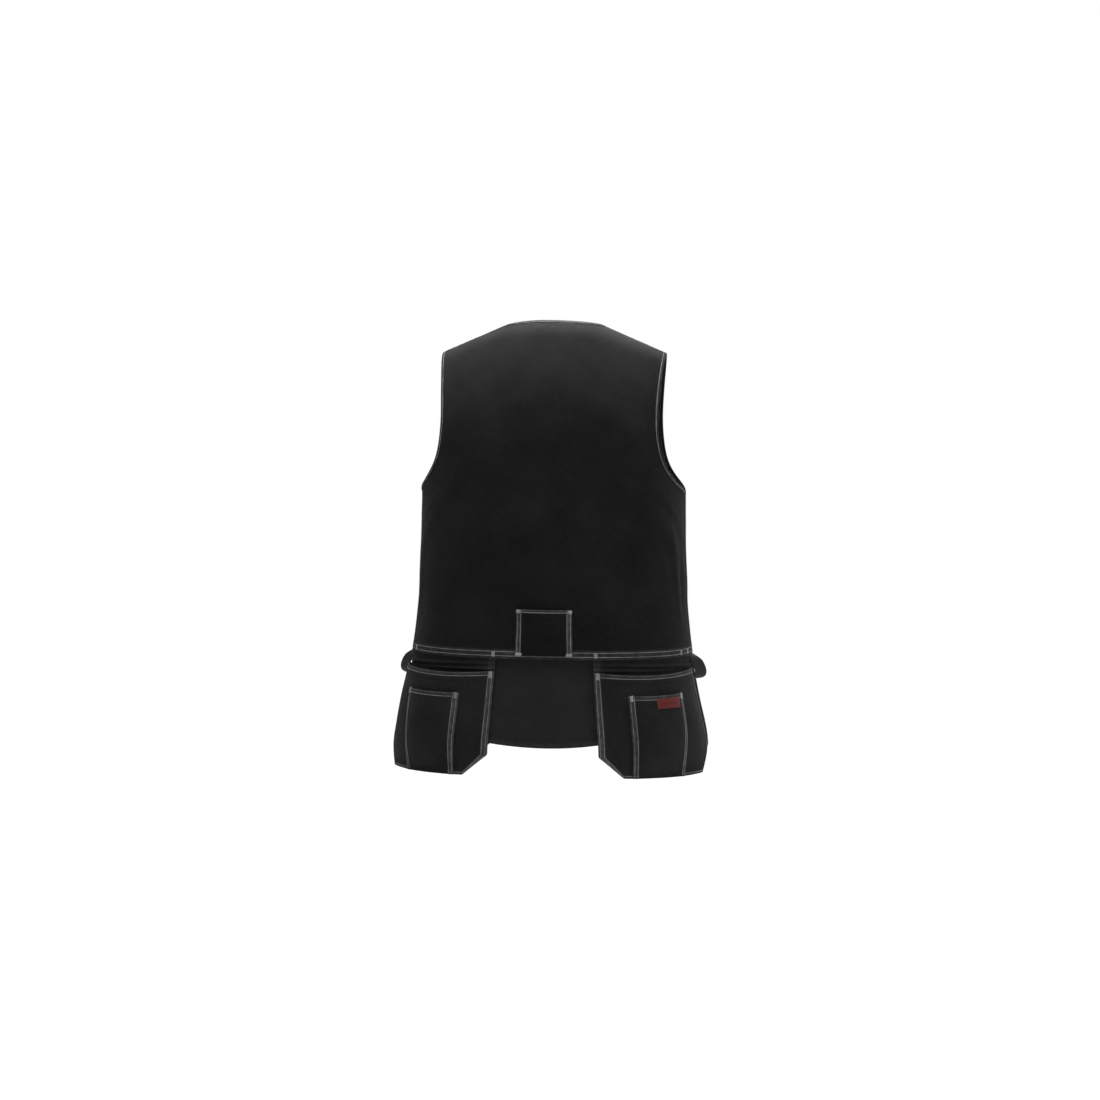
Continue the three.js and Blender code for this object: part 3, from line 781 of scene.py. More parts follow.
for hand, side in (("left", -1), ("right", 1)):
    seam_band(
        f"side_seam_{hand}",
        lambda over, height, side=side: side_seam_surface(side, over, height),
        np.linspace(-body_height + 0.0004, -armpit_drop + 0.001, 110),
    )
    seam_band(
        f"shoulder_seam_{hand}",
        lambda over, reach, side=side: shoulder_seam_surface(side, over, reach),
        np.linspace(neck_half_width + seam_end, shoulder_half_width - seam_end, 50),
    )

# Zip: a closed coil zip between the fronts, hidden in the photograph. Its tape is woven polyester,
# with two rows of moulded teeth that mesh along the middle, and a plain slider at the top.
zip_rows = np.linspace(-body_height, -neck_drop_in_front - 0.0045, 160)
tooth_pitch = 0.0024
tooth_length = 0.0036
tooth_radius = 0.00075
tooth_aside = 0.0011
tooth_proud = 0.0009
slider_drop = 0.012
slider_half = (0.0044, 0.0022, 0.0058)
pull_half = (0.0030, 0.0009, 0.0130)
pull_from_slider = np.array([0.0, 0.0028, -0.0165])
zip_turn = turn_at_width(zip_half_width)


def zip_surface(turn, height):
    """The middle line of the zip's depth, on the worn form, and the directions out of it."""
    place, out = worn_form(1, turn, height)
    return place + out * (cloth / 2), out


def smooth_black(name, colour, roughness, grain):
    """Moulded or rolled black: a fine grain in the bump, and rubbed patches in the roughness."""
    made, tree, shader = new_material(name)
    place = object_place(tree)
    grains = add_noise(tree, place, grain, 3.0)
    patches = add_noise(tree, place, grain / 14, 2.0)
    tone = add_range(tree, patches, 0.3, 0.7, 0.0, 1.0)
    brighter = tuple(1.7 * c for c in colour)
    surface = {
        "Base Color": add_mix(tree, tone, (*colour, 1), (*brighter, 1)),
        "Roughness": add_range(tree, patches, 0.3, 0.7, roughness - 0.08, roughness + 0.08),
        "Normal": add_bump(tree, grains, 0.3, 0.0001),
    }
    fill(tree, shader, surface)
    return made


zip_tape = canvas(
    "zip_tape",
    (0.0070, 0.0070, 0.0072),
    (0.0180, 0.0180, 0.0182),
    (0.022, 0.022, 0.022),
    pitch=0.0005,
)
zip_plastic = smooth_black("zip_plastic", (0.014, 0.014, 0.015), 0.42, 2200.0)
turns, heights = np.meshgrid(np.linspace(-zip_turn, zip_turn, 15), zip_rows)
place, out = zip_surface(turns, heights)
tape_half = 0.0006
tape = make_cloth(
    "zip_tape_cloth",
    place + out * tape_half,
    place - out * tape_half,
    np.zeros_like(turns),
    (1, 0, 1, 0),
    zip_tape,
)
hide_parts("front_zip")


def zip_teeth(name):
    """Both rows of teeth: rounded bars across the middle, the rows shifted by half a pitch."""
    count = int((zip_rows[-1] - zip_rows[0] - 0.006) / tooth_pitch)
    level = zip_rows[0] + 0.003 + np.arange(2 * count) * tooth_pitch / 2
    side = np.where(np.arange(2 * count) % 2 == 0, -1.0, 1.0)
    place, out = zip_surface(np.zeros(2 * count), level)
    middles = place + out * tooth_proud
    middles[:, 0] += side * tooth_aside
    along = np.repeat([[1.0, 0.0, 0.0]], 2 * count, axis=0)
    lengths = np.full(2 * count, tooth_length)
    return place_threads(name, middles, along, out, lengths, tooth_radius, zip_plastic)


zip_teeth("zip_teeth")


def rounded_block(name, middle, half, power, material):
    """A block with rounded sides: a sphere's directions, each drawn out to a box by a power below
    one of its own share."""
    upwards = np.linspace(-np.pi / 2, np.pi / 2, 13)[1:-1]
    lat, lon = np.meshgrid(upwards, np.linspace(0, 2 * np.pi, 25)[:-1])
    ball = np.stack(
        [np.cos(lat) * np.cos(lon), np.cos(lat) * np.sin(lon), np.sin(lat)], axis=-1
    )
    shaped = np.sign(ball) * np.abs(ball) ** power * np.array(half) + np.array(middle)
    rows, columns = shaped.shape[:2]
    numbers = np.arange(rows * columns).reshape(rows, columns)
    following = np.roll(numbers, -1, axis=0)
    quads = np.stack(
        [numbers[:, :-1], following[:, :-1], following[:, 1:], numbers[:, 1:]], axis=-1
    ).reshape(-1, 4)
    foot, crown = numbers.size, numbers.size + 1
    below = np.stack([following[:, 0], numbers[:, 0], np.full(rows, foot)], axis=-1)
    above = np.stack([numbers[:, -1], following[:, -1], np.full(rows, crown)], axis=-1)
    poles = np.array(middle) + np.array([[0, 0, -half[2]], [0, 0, half[2]]])
    points = np.concatenate([shaped.reshape(-1, 3), poles])
    faces = quads.tolist() + below.tolist() + above.tolist()
    return new_object(name, points, faces, material)


slider_place, slider_out = zip_surface(np.zeros(1), np.array([zip_rows[-1] - slider_drop]))
slider_middle = slider_place[0] + slider_out[0] * 0.0012
slider = rounded_block("zip_slider", slider_middle, slider_half, 0.55, zip_plastic)
pull = rounded_block("zip_pull", slider_middle + pull_from_slider, pull_half, 0.45, zip_plastic)

# Bindings: a folded tape of the same cloth closes the raw edge round each armhole and round the
# neck. It is folded over the edge and sewn through with one row on the armholes and two at the neck.
binding_beyond = 0.0045
tape_wall = 0.0007
tape_off = 0.00012
armhole_onto = 0.0018
armhole_rows = (-0.0004,)
neck_onto = 0.0030
neck_rows = (0.0008, -0.0020)


def tape_profile(onto, count=9):
    """The folded tape's section, as closed loops of (distance beyond the edge, distance out from the
    middle of the cloth): out along one leg, round the fold and back, then the same inside it."""
    half = cloth / 2 + tape_off
    nose = np.pi / 2 * np.linspace(1, -1, count)
    fold = binding_beyond - half - tape_wall

    def loop(reach):
        turning = np.stack([fold + reach * np.cos(nose), reach * np.sin(nose)], axis=-1)
        return np.concatenate([[[-onto, reach]], turning, [[-onto, -reach]]])

    outer = loop(half + tape_wall)
    inner = loop(half)[::-1]
    return np.concatenate([outer, inner])


def bind(name, edge, out, towards, closed, onto, rows):
    """A folded tape carried along an edge: the section stands square to the path, with one axis out
    of the cloth and the other away from it, on the side that towards says. Onto is how far its legs
    reach over the cloth, and rows are its stitches' distances beyond the edge."""
    if closed:
        run = np.roll(edge, -1, axis=0) - np.roll(edge, 1, axis=0)
    else:
        run = np.gradient(edge, axis=0)
    away = unit(np.cross(out, run)) * towards
    profile = tape_profile(onto)
    middle = edge + out * (cloth / 2)
    points = (
        middle[:, None, :]
        + profile[None, :, :1] * away[:, None, :]
        + profile[None, :, 1:] * out[:, None, :]
    )
    count, around = points.shape[:2]
    numbers = np.arange(count * around).reshape(count, around)
    if closed:
        start, end = numbers, np.roll(numbers, -1, axis=0)
    else:
        start, end = numbers[:-1], numbers[1:]
    quads = np.stack([start, np.roll(start, -1, axis=1), np.roll(end, -1, axis=1), end], axis=-1)
    faces = [quads.reshape(-1, 4)]
    if not closed:
        half = around // 2
        left = np.arange(half - 1)
        cap = np.stack([left, left + 1, around - 2 - left, around - 1 - left], axis=-1)
        faces += [numbers[0][cap][:, ::-1], numbers[-1][cap]]
    lengths = np.concatenate([[0], np.cumsum(np.linalg.norm(np.diff(edge, axis=0), axis=1))])
    section = np.concatenate([[0], np.cumsum(np.linalg.norm(np.diff(profile, axis=0), axis=1))])
    uvs = np.stack(np.meshgrid(section, lengths), axis=-1).reshape(-1, 2)
    made = make_mesh(
        name,
        points.reshape(-1, 3),
        np.concatenate(faces),
        uvs,
        np.full(count * around, 0.5),
        binding_canvas,
    )
    lift = cloth / 2 + tape_off + tape_wall - 0.0001
    seams = []
    for row in rows:
        line = middle + away * row + out * lift
        under = middle + away * row - out * lift
        if closed:
            line, under = (np.concatenate([path, path[:1]]) for path in (line, under))
        outward = np.concatenate([out, out[:1]]) if closed else out
        seams += [(line, outward), (under, -outward)]
    sew(name + "_stitching", seams)
    return made, float(lengths[-1])


binding_canvas = canvas(
    "binding_canvas",
    (0.0055, 0.0055, 0.0055),
    (0.0210, 0.0210, 0.0208),
    (0.034, 0.034, 0.034),
    pitch=0.0006,
)
rises = (1 - np.cos(np.pi * np.arange(0, 121) / 120)) / 2
for hand, side in (("left", -1), ("right", 1)):
    behind, out_behind, _, _ = panel_surface(-1, np.full_like(rises, side), 1 + rises)
    before, out_before, _, _ = panel_surface(1, np.full_like(rises, side), 1 + rises)
    edge = np.concatenate([behind, before[-2:0:-1]])
    out = np.concatenate([out_behind, out_before[-2:0:-1]])
    edge[:, 1] = np.where(np.abs(edge[:, 1]) < 2 * clearance, 0, edge[:, 1])
    made, length = bind(
        f"armhole_binding_{hand}_tape", edge, unit(out), -side, True, armhole_onto, armhole_rows
    )
    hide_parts(f"armhole_binding_{hand}")

in_neck = np.linspace(0, 1, 60)
front_share = np.maximum(in_neck * neck_share_of_panel, at_middle)
left_up, left_out, _, _ = panel_surface(1, -front_share, np.full_like(in_neck, 2.0))
right_up, right_out, _, _ = panel_surface(1, front_share, np.full_like(in_neck, 2.0))
round_neck = np.linspace(-neck_share_of_panel, neck_share_of_panel, 121)
behind, out_behind, _, _ = panel_surface(-1, round_neck, np.full_like(round_neck, 2.0))
edge = np.concatenate([left_up[:-1], behind, right_up[-2::-1]])
out = np.concatenate([left_out[:-1], out_behind, right_out[-2::-1]])
made, length = bind("neck_binding_tape", edge, unit(out), 1, False, neck_onto, neck_rows)
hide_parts("neck_binding")

# Patch pocket at the middle of the back: a small square of canvas with its mouth turned down, sewn
# to the back along both sides by two rows, and tacked at all four corners.
patch_half_turn = 10.0
patch_bottom = -body_height + 0.005
patch_height = 0.070
patch_width = 0.087
patch_bulge = 0.009
swell_sides = 2.5
swell_rise = 1.4
turned_thickness = 0.00045
mouth_hem = 0.011


def swell(across, up):
    """Rise of a pocket's face: none at its sides and bottom, full over its middle and its mouth.
    Across it is 1 - |2a - 1| to a power, and upwards the first quarter of a sine wave."""
    across = np.clip(across, 0, 1)
    up = np.clip(np.maximum(up, 0) * swell_rise, 0, 1)
    return (1 - np.abs(2 * across - 1) ** swell_sides) * np.sin(np.pi / 2 * up)


def pocket_relief(from_side, from_mouth, side_rows, mouth_row):
    """Extra thickness of a pocket's face: the turned-in sides and the turned-down mouth, dented by
    their rows of stitches."""
    sides = turned_thickness * (1 - ramp(from_side, side_rows[-1] + 0.001, 0.0015))
    mouth = turned_thickness * (1 - ramp(from_mouth, mouth_hem, 0.0015))
    relief = dented(np.maximum(sides, mouth), from_side, side_rows, pocket_dent)
    return dented(relief, from_mouth, (mouth_row,), pocket_dent)


def row_up(surface, share, low=0.0, count=90):
    """A row of stitches up a pocket at a share across, from a share up to the mouth."""
    up = np.linspace(low, 1, count)
    return surface(np.full_like(up, share), up)


def row_across(surface, share, inset=0.0, count=90):
    """A row of stitches across a pocket at a share up, to a share short of its sides."""
    across = np.linspace(inset, 1 - inset, count)
    return surface(across, np.full_like(across, share))


def both_ways(shares):
    """Shares across from one side and the same from the other."""
    return [*shares, *(1 - share for share in shares)]


patch_strip = (0.0016, 0.0070)
patch_mouth_row = 0.0030


def patch_surface(across, up):
    """The patch pocket's inner side and the directions out of it, from shares of its size."""
    turn = mix(-patch_half_turn, patch_half_turn, across)
    height = patch_bottom + patch_height * up
    place, out = body_surface(-1, turn, height)
    lift = cloth + clearance + patch_bulge * swell(across, up)
    return lifted(place, out, lift)


def patch_outside(across, up):
    """The patch pocket's outer side."""
    place, out = patch_surface(across, up)
    from_side = np.minimum(across, 1 - across) * patch_width
    from_mouth = (1 - up) * patch_height
    relief = pocket_relief(from_side, from_mouth, patch_strip, patch_mouth_row)
    return lifted(place, out, cloth + relief)


patch_canvas = canvas(
    "patch_canvas", (0.0030, 0.0030, 0.0030), (0.0205, 0.0205, 0.0203), (0.062, 0.062, 0.062)
)
patch_across = steps((0, 0.11, 8), (0.11, 0.89, 26), (0.89, 1, 8))
patch_up = steps((0, 0.06, 3), (0.06, 0.82, 20), (0.82, 1, 11))
across, up = np.meshgrid(patch_across, patch_up)
from_side = np.minimum(across, 1 - across) * patch_width
side_wear = 0.8 * strip(from_side, -1, patch_strip[1] + 0.001)
mouth_wear = 0.5 * strip((1 - up) * patch_height, -1, 0.004)
patch = make_cloth(
    "back_pocket_cloth",
    patch_outside(across, up)[0],
    patch_surface(across, up)[0],
    np.maximum(side_wear, mouth_wear),
    (1, 1, 1, 1),
    patch_canvas,
)
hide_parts("back_pocket")


def bar_at(surface, across, up, length, direction=None):
    """A bar tack at a place on a pocket, running up and down unless a direction is given."""
    place, out = surface(np.array([across]), np.array([up]))
    beyond, _ = surface(np.array([across]), np.array([up + 0.01]))
    run = beyond[0] - place[0] if direction is None else np.array(direction, float)
    return place[0], run, out[0], length


row_shares = both_ways([row / patch_width for row in patch_strip])
patch_seams = [row_up(patch_outside, share, count=60) for share in row_shares]
patch_seams.append(row_across(patch_outside, 1 - patch_mouth_row / patch_height, count=60))
tack = sum(patch_strip) / 2 / patch_width
patch_bars = [
    bar_at(patch_outside, a, u, 0.0095, direction=(1, 0, 0))
    for a in (tack, 1 - tack)
    for u in (0.965, 0.02)
]
sew("back_pocket_stitching", patch_seams, patch_bars)

# Tail flap: a wide piece of slightly paler canvas that hangs from the hem between and behind the
# rear pouches. Its curved lower edge is turned up narrowly and sewn with black thread.
flap_half_turn = 24.0
flap_bottom = -body_height - 0.137
flap_curve = 0.010
flap_outer = -2 * clearance - cloth - 0.0004
flap_wave = 0.0009
flap_row = 0.005
flap_length = 0.150
tuck_top = hem_turned_up - body_height
flap_canvas = canvas(
    "flap_canvas",
    (0.0108, 0.0108, 0.0108),
    (0.0350, 0.0350, 0.0350),
    (0.040, 0.040, 0.040),
    sheen=0.05,
)


def flap_surface(across, up):
    """The flap's outer side: shares across and up, from its curved edge to inside the hem."""
    turn = mix(-flap_half_turn, flap_half_turn, across)
    bottom = flap_bottom + flap_curve * (turn / flap_half_turn) ** 2
    height = mix(bottom, tuck_top, up)
    place, out = worn_form(-1, turn, height)
    wave = flap_wave * np.sin(turn / 5.2 + 0.6) * ramp(1 - up, 0.25, 0.75)
    return lifted(place, out, flap_outer - flap_wave + wave)


across, up = np.meshgrid(np.linspace(0, 1, 64), steps((0, 0.06, 8), (0.06, 1, 44)))
place, out = flap_surface(across, up)
from_edge = up * flap_length
turned = 0.0004 * (1 - ramp(from_edge, 0.0065, 0.0012)) - 0.00018 * groove(from_edge, flap_row)
flap = make_cloth(
    "tail_flap_cloth",
    place + out * turned[..., None],
    place - out * cloth,
    0.35 * strip(from_edge, -1, 0.006),
    (1, 1, 0, 1),
    flap_canvas,
)
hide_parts("tail_flap")
black_thread = thread_material("black_thread", (0.012, 0.012, 0.012), (0.006, 0.006, 0.006))
line, out = row_across(flap_surface, flap_row / flap_length, 0.01, 120)
sew("tail_flap_stitching", [(line + out * 0.0002, out)], (), black_thread)

# Hanging pouches: each is a canvas backing, caught under the hem, with a deeper face sewn to it
# round three sides, its lower corners cut off. The mouth is turned down and sewn once, the inner
# edge has two rows, and the other edges have one. The rear pair and the front pair are alike.
pouch_inner_turn = 18.0
pouch_outer_turn = 78.0
pouch_bottom = -vest_height
pouch_mouth = -body_height - 0.022
pouch_height = pouch_mouth - pouch_bottom
pouch_width = 0.232
pouch_bulge = 0.017
chamfer_turn = 8.5
chamfer_height = 0.032
seam_turn = 2.6
seam_height = 0.007
tool_inner_turn = 30.0
tool_outer_turn = 54.0
inner_rows = (0.0018, 0.0072)
edge_row = 0.0028
mouth_row = 0.0050
fold_thickness = 0.0005
pouch_canvas = canvas(
    "pouch_canvas", (0.0066, 0.0067, 0.0067), (0.0360, 0.0360, 0.0358), (0.066, 0.066, 0.065)
)


def cut_corner(turn, height):
    """A pouch's turn, drawn in along the cut-off corners: a straight cut in the lowest part."""
    cut = np.maximum(1 - (height - pouch_bottom) / chamfer_height, 0) * chamfer_turn
    inner = np.maximum(tool_inner_turn - turn, 0) / (tool_inner_turn - pouch_inner_turn)
    outer = np.maximum(turn - tool_outer_turn, 0) / (pouch_outer_turn - tool_outer_turn)
    return turn + cut * (inner - outer)


def pouch_lift(turn, height):
    """How far a pouch's face stands off its backing."""
    breadth = pouch_outer_turn - pouch_inner_turn - 2 * seam_turn
    tall = pouch_height - seam_height
    across = (turn - pouch_inner_turn - seam_turn) / breadth
    up = (height - pouch_bottom - seam_height) / tall
    return pouch_bulge * swell(across, up)


def pouch_surface(face, side, across, up):
    """A pouch face's inner side and the directions out, from shares across, from the edge near the
    middle to the one at the side, and up, from the bottom to the mouth, which sags a little."""
    turn = mix(pouch_inner_turn, pouch_outer_turn, across)
    height = pouch_bottom + pouch_height * up
    sag = 0.0035 * np.sin(np.pi * np.clip(across * 1.25, 0, 1)) * up**6
    place, out = worn_form(face, side * cut_corner(turn, height), height - sag)
    crease = 0.0012 * np.sin(np.pi * across) * np.sin(height / 0.024 + 4 * across + side + face)
    lift = pouch_lift(turn, height) + crease * ramp(up, 0.1, 0.3) * (1 - ramp(up, 0.75, 0.25))
    return lifted(place, out, lift)


def pouch_measures(across, up):
    """Distances in metres from a pouch's inner edge, from its outer edge or bottom, whichever is
    nearer, and from its mouth."""
    from_edge = np.minimum((1 - across) * pouch_width, up * pouch_height)
    return across * pouch_width, from_edge, (1 - up) * pouch_height


def pouch_outside(face, side, across, up):
    """A pouch face's outer side, thicker along its turned-in edges and mouth, and dented by its
    rows of stitches."""
    place, out = pouch_surface(face, side, across, up)
    from_inner, from_edge, from_mouth = pouch_measures(across, up)
    inner = 1 - ramp(from_inner, 0.0085, 0.0015)
    outer = 1 - ramp(from_edge, 0.0055, 0.0015)
    mouth = 1 - ramp(from_mouth, 0.012, 0.0015)
    relief = fold_thickness * np.maximum(np.maximum(inner, outer), mouth)
    relief = dented(relief, from_inner, inner_rows)
    relief = dented(relief, from_edge, (edge_row,))
    relief = dented(relief, from_mouth, (mouth_row,))
    return lifted(place, out, cloth + relief)


def pouch_wear(across, up):
    """A pouch face is palest along its seams, its mouth and its bottom corners."""
    from_inner, from_edge, from_mouth = pouch_measures(across, up)
    inner = 0.8 * strip(from_inner, -1, 0.0085)
    outer = 0.6 * strip(from_edge, -1, 0.0045)
    return np.maximum(np.maximum(inner, outer), 0.45 * strip(from_mouth, -1, 0.0060))


def backing_surface(face, side, across, up):
    """A backing's outer side: from the pouch's bottom, behind its face, to inside the hem. The band
    that shows above the mouth has two soft creases, the square of a sine wave."""
    turn = mix(pouch_inner_turn, pouch_outer_turn, across)
    height = mix(pouch_bottom, tuck_top, up)
    place, out = worn_form(face, side * cut_corner(turn, height), height)
    in_band = ramp(height, pouch_mouth, 0.004) * (1 - ramp(height, -body_height - 0.004, 0.003))
    crease = 0.0014 * np.sin(np.pi * (height - pouch_mouth) / 0.009 + 2.5 * across) ** 2 * in_band
    return lifted(place, out, crease - clearance)


pouch_across = steps((0, 0.045, 9), (0.045, 0.95, 50), (0.95, 1, 8))
pouch_up = steps((0, 0.045, 6), (0.045, 0.9, 40), (0.9, 1, 12))
for place_name, face in (("rear", -1), ("front", 1)):
    for hand, side in (("left", -1), ("right", 1)):
        across, up = np.meshgrid(pouch_across, pouch_up)
        bag = make_cloth(
            f"{place_name}_pouch_face_{hand}_cloth",
            pouch_outside(face, side, across, up)[0],
            pouch_surface(face, side, across, up)[0],
            pouch_wear(across, up),
            (1, 1, 1, 1),
            pouch_canvas,
        )
        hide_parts(f"{place_name}_pouch_face_{hand}")
        backing_name = f"{place_name}_pouch_backing_{hand}"
        across, up = np.meshgrid(np.linspace(0, 1, 60), steps((0, 0.8, 24), (0.8, 1, 40)))
        base, out = backing_surface(face, side, across, up)
        backing = make_cloth(
            backing_name + "_cloth",
            base,
            base - out * cloth,
            0.25 * strip(across, -1, 0.04, 0.03),
            (1, 1, 0, 1),
            pouch_canvas,
        )
        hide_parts(backing_name)

        def on_face(a, u, face=face, side=side):
            """The outer side of this pouch's face."""
            return pouch_outside(face, side, a, u)

        seams = [row_up(on_face, row / pouch_width, 0.012) for row in inner_rows]
        seams.append(row_up(on_face, 1 - edge_row / pouch_width, 0.012))
        seams.append(row_across(on_face, edge_row / pouch_height, 0.012))
        seams.append(row_across(on_face, 1 - mouth_row / pouch_height, 0.005))
        bars = [bar_at(on_face, sum(inner_rows) / 2 / pouch_width, 0.975, 0.0100)]
        sew(f"{place_name}_pouch_{hand}_stitching", seams, bars)

# Tool pockets: a smaller pocket on each rear pouch, caught in the pouch's bottom seam. Its sides are
# sewn down with two rows each and tacked at the top, and its mouth is turned down and sewn once.
tool_top = pouch_mouth - 0.033
tool_width = 0.099
tool_height = tool_top - pouch_bottom
tool_bulge = 0.010
tool_rows = (0.0016, 0.0068)


def tool_surface(side, across, up):
    """A tool pocket's inner side and the directions out, over the pouch's own bulge."""
    turn = mix(tool_inner_turn, tool_outer_turn, across)
    height = pouch_bottom + tool_height * up
    share = (turn - pouch_inner_turn) / (pouch_outer_turn - pouch_inner_turn)
    base, out = pouch_surface(-1, side, share, (height - pouch_bottom) / pouch_height)
    rise = (height - pouch_bottom - seam_height) / (tool_height - seam_height)
    lift = cloth + 2 * clearance + 0.0004 + tool_bulge * swell(across, rise)
    return lifted(base, out, lift)


def tool_outside(side, across, up):
    """A tool pocket's outer side, thicker at its turned-in sides and mouth."""
    place, out = tool_surface(side, across, up)
    from_side = np.minimum(across, 1 - across) * tool_width
    from_mouth = (1 - up) * tool_height
    relief = pocket_relief(from_side, from_mouth, tool_rows, mouth_row)
    return lifted(place, out, cloth + relief)


tool_across = steps((0, 0.1, 8), (0.1, 0.9, 24), (0.9, 1, 8))
tool_up = steps((0, 0.05, 4), (0.05, 0.88, 28), (0.88, 1, 10))
for hand, side in (("left", -1), ("right", 1)):
    across, up = np.meshgrid(tool_across, tool_up)
    from_side = np.minimum(across, 1 - across) * tool_width
    side_wear = 0.8 * strip(from_side, -1, 0.0080)
    mouth_wear = 0.45 * strip((1 - up) * tool_height, -1, 0.0055)
    pocket = make_cloth(
        f"tool_pocket_{hand}_cloth",
        tool_outside(side, across, up)[0],
        tool_surface(side, across, up)[0],
        np.maximum(side_wear, mouth_wear),
        (1, 1, 1, 1),
        pouch_canvas,
    )
    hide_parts(f"tool_pocket_{hand}")

    def on_pocket(a, u, side=side):
        """The outer side of this tool pocket."""
        return tool_outside(side, a, u)

    row_shares = both_ways([row / tool_width for row in tool_rows])
    seams = [row_up(on_pocket, share, 0.01) for share in row_shares]
    seams.append(row_across(on_pocket, 1 - mouth_row / tool_height, 0.01))
    middle_of_strip = sum(tool_rows) / 2 / tool_width
    bars = [bar_at(on_pocket, a, 0.975, 0.0090) for a in both_ways([middle_of_strip])]
    sew(f"tool_pocket_{hand}_stitching", seams, bars)

# Cloth tab: a small red woven tab near the mouth of the right tool pocket, folded in at both ends and
# sewn down. It is plain.
tab_inner_turn = 40.0
tab_outer_turn = 50.5
tab_top = tool_top - 0.004
tab_height = 0.015
tab_width = 0.039
tab_red = canvas(
    "red_tab",
    (0.085, 0.014, 0.012),
    (0.12, 0.034, 0.030),
    (0.13, 0.045, 0.040),
    pitch=0.0004,
    sheen=0.1,
)


def tab_surface(across, up):
    """The tab's underside, lying on the tool pocket."""
    turn = mix(tab_inner_turn, tab_outer_turn, across)
    height = tab_top - tab_height + tab_height * up
    share = (turn - tool_inner_turn) / (tool_outer_turn - tool_inner_turn)
    place, out = tool_outside(1, share, (height - pouch_bottom) / tool_height)
    return place + out * 0.0002, out


across, up = np.meshgrid(np.linspace(0, 1, 25), np.linspace(0, 1, 13))
place, out = tab_surface(across, up)
ends = 0.00018 * (1 - ramp(np.minimum(across, 1 - across) * tab_width, 0.0030, 0.0008))
tab = make_cloth(
    "label_tab_cloth",
    place + out * (0.0007 + ends)[..., None],
    place,
    0.4 * strip(np.minimum(across, 1 - across), -1, 0.05, 0.03),
    (1, 1, 1, 1),
    tab_red,
)
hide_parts("label_tab")

# Side loops: black polyester webbing, 25 mm wide, folded into a loop under the hem at each side seam,
# with both ends caught in the hem and tacked.
webbing_width = 0.025
webbing_thickness = 0.0018
loop_width = 0.022
loop_height = 0.041
loop_lean = 0.010
loop_belly = 0.65
loop_clearance = 0.0012
loop_twist = 42.0
rib_pitch = 0.0011
selvedge_from = 0.011


def webbing(name):
    """Woven webbing: ribs across the strap from the thick weft, crossed by finer warp lines, with a
    slight gloss."""
    made, tree, shader = new_material(name)
    _, u, v = flat_place(tree)
    weave = add_weave(tree, u, v, rib_pitch)
    place = object_place(tree)
    mottle = add_noise(tree, place, 160.0, 3.0)
    rubbing = add_range(tree, mottle, 0.3, 0.7, 0.2, 1.0)
    tone = add_math(tree, "MULTIPLY", worn_and_lit_share(tree), rubbing)
    colour = add_mix(tree, tone, (0.004, 0.004, 0.0042, 1), (0.016, 0.016, 0.0165, 1))
    surface = {
        "Base Color": colour,
        "Roughness": add_range(tree, mottle, 0.3, 0.7, 0.5, 0.65),
        "Normal": add_bump(tree, weave, 0.7, 0.0004),
        "Specular IOR Level": 0.14,
        "Sheen Weight": 0.03,
    }
    fill(tree, shader, surface)
    return made


webbing_black = webbing("black_webbing")
tucked = worn_form(-1, np.array(90.0), np.array(tuck_top))[0]
at_hem = worn_form(-1, np.array(90.0), np.array(-body_height))[0]
ply = (webbing_thickness + clearance) / 2
inset = loop_clearance + webbing_thickness / 2 + ply
around = np.linspace(0, 2 * np.pi, 61)
hanging_down = (1 - np.cos(around)) / 2
belly = np.sin(around) * np.sin(around / 2) * loop_width * loop_belly
hanging_x = at_hem[0] - inset + ply * np.cos(around / 2) + loop_lean * hanging_down + belly
hanging_z = -body_height - hanging_down * loop_height
loop_x = np.concatenate([[tucked[0] - inset + ply], hanging_x, [tucked[0] - inset - ply]])
loop_z = np.concatenate([[tuck_top], hanging_z, [tuck_top]])
for hand, side in (("left", -1), ("right", 1)):
    path = np.stack([side * loop_x, np.zeros_like(loop_x), loop_z], axis=-1)
    run = np.gradient(path, axis=0)
    normal = unit(np.stack([-run[:, 2] * side, np.zeros_like(loop_x), run[:, 0] * side], axis=-1))
    widths = np.linspace(-webbing_width / 2, webbing_width / 2, 15)
    twist = np.radians(loop_twist) * ramp(np.concatenate([[0], hanging_down, [0]]), 0.0, 0.35)
    spread = np.stack([side * np.sin(twist), np.cos(twist), np.zeros_like(twist)], axis=-1)
    normal = unit(np.cross(np.cross(spread, normal), spread))
    grid = path[:, None, :] + widths[None, :, None] * spread[:, None, :]
    half = normal[:, None, :] * webbing_thickness / 2
    selvedge = 1 - 0.25 * strip(webbing_width / 2 - np.abs(widths), -1, 0.0016, 0.001)
    half = half * selvedge[None, :, None]
    loop = make_cloth(
        f"side_loop_{hand}_webbing",
        grid + half,
        grid - half,
        np.broadcast_to(np.where(np.abs(widths) > selvedge_from, 0.8, 0.15), grid.shape[:2]),
        (0, 1, 0, 1),
        webbing_black,
    )
    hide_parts(f"side_loop_{hand}")

# Bar tacks along the hem: thread pads where the pouches and loops are caught under the hem.
hem_bars = []
for turn in (-67.0, -18.6, 18.8, 66.0, 75.0):
    place, out = panel_line(-1, np.array([turn / 90]), np.array([0.006 / lower_body]))
    hem_bars.append((place[0], (0, 0, 1), out[0], 0.0080))
sew("hem_bar_tacks", [], hem_bars)

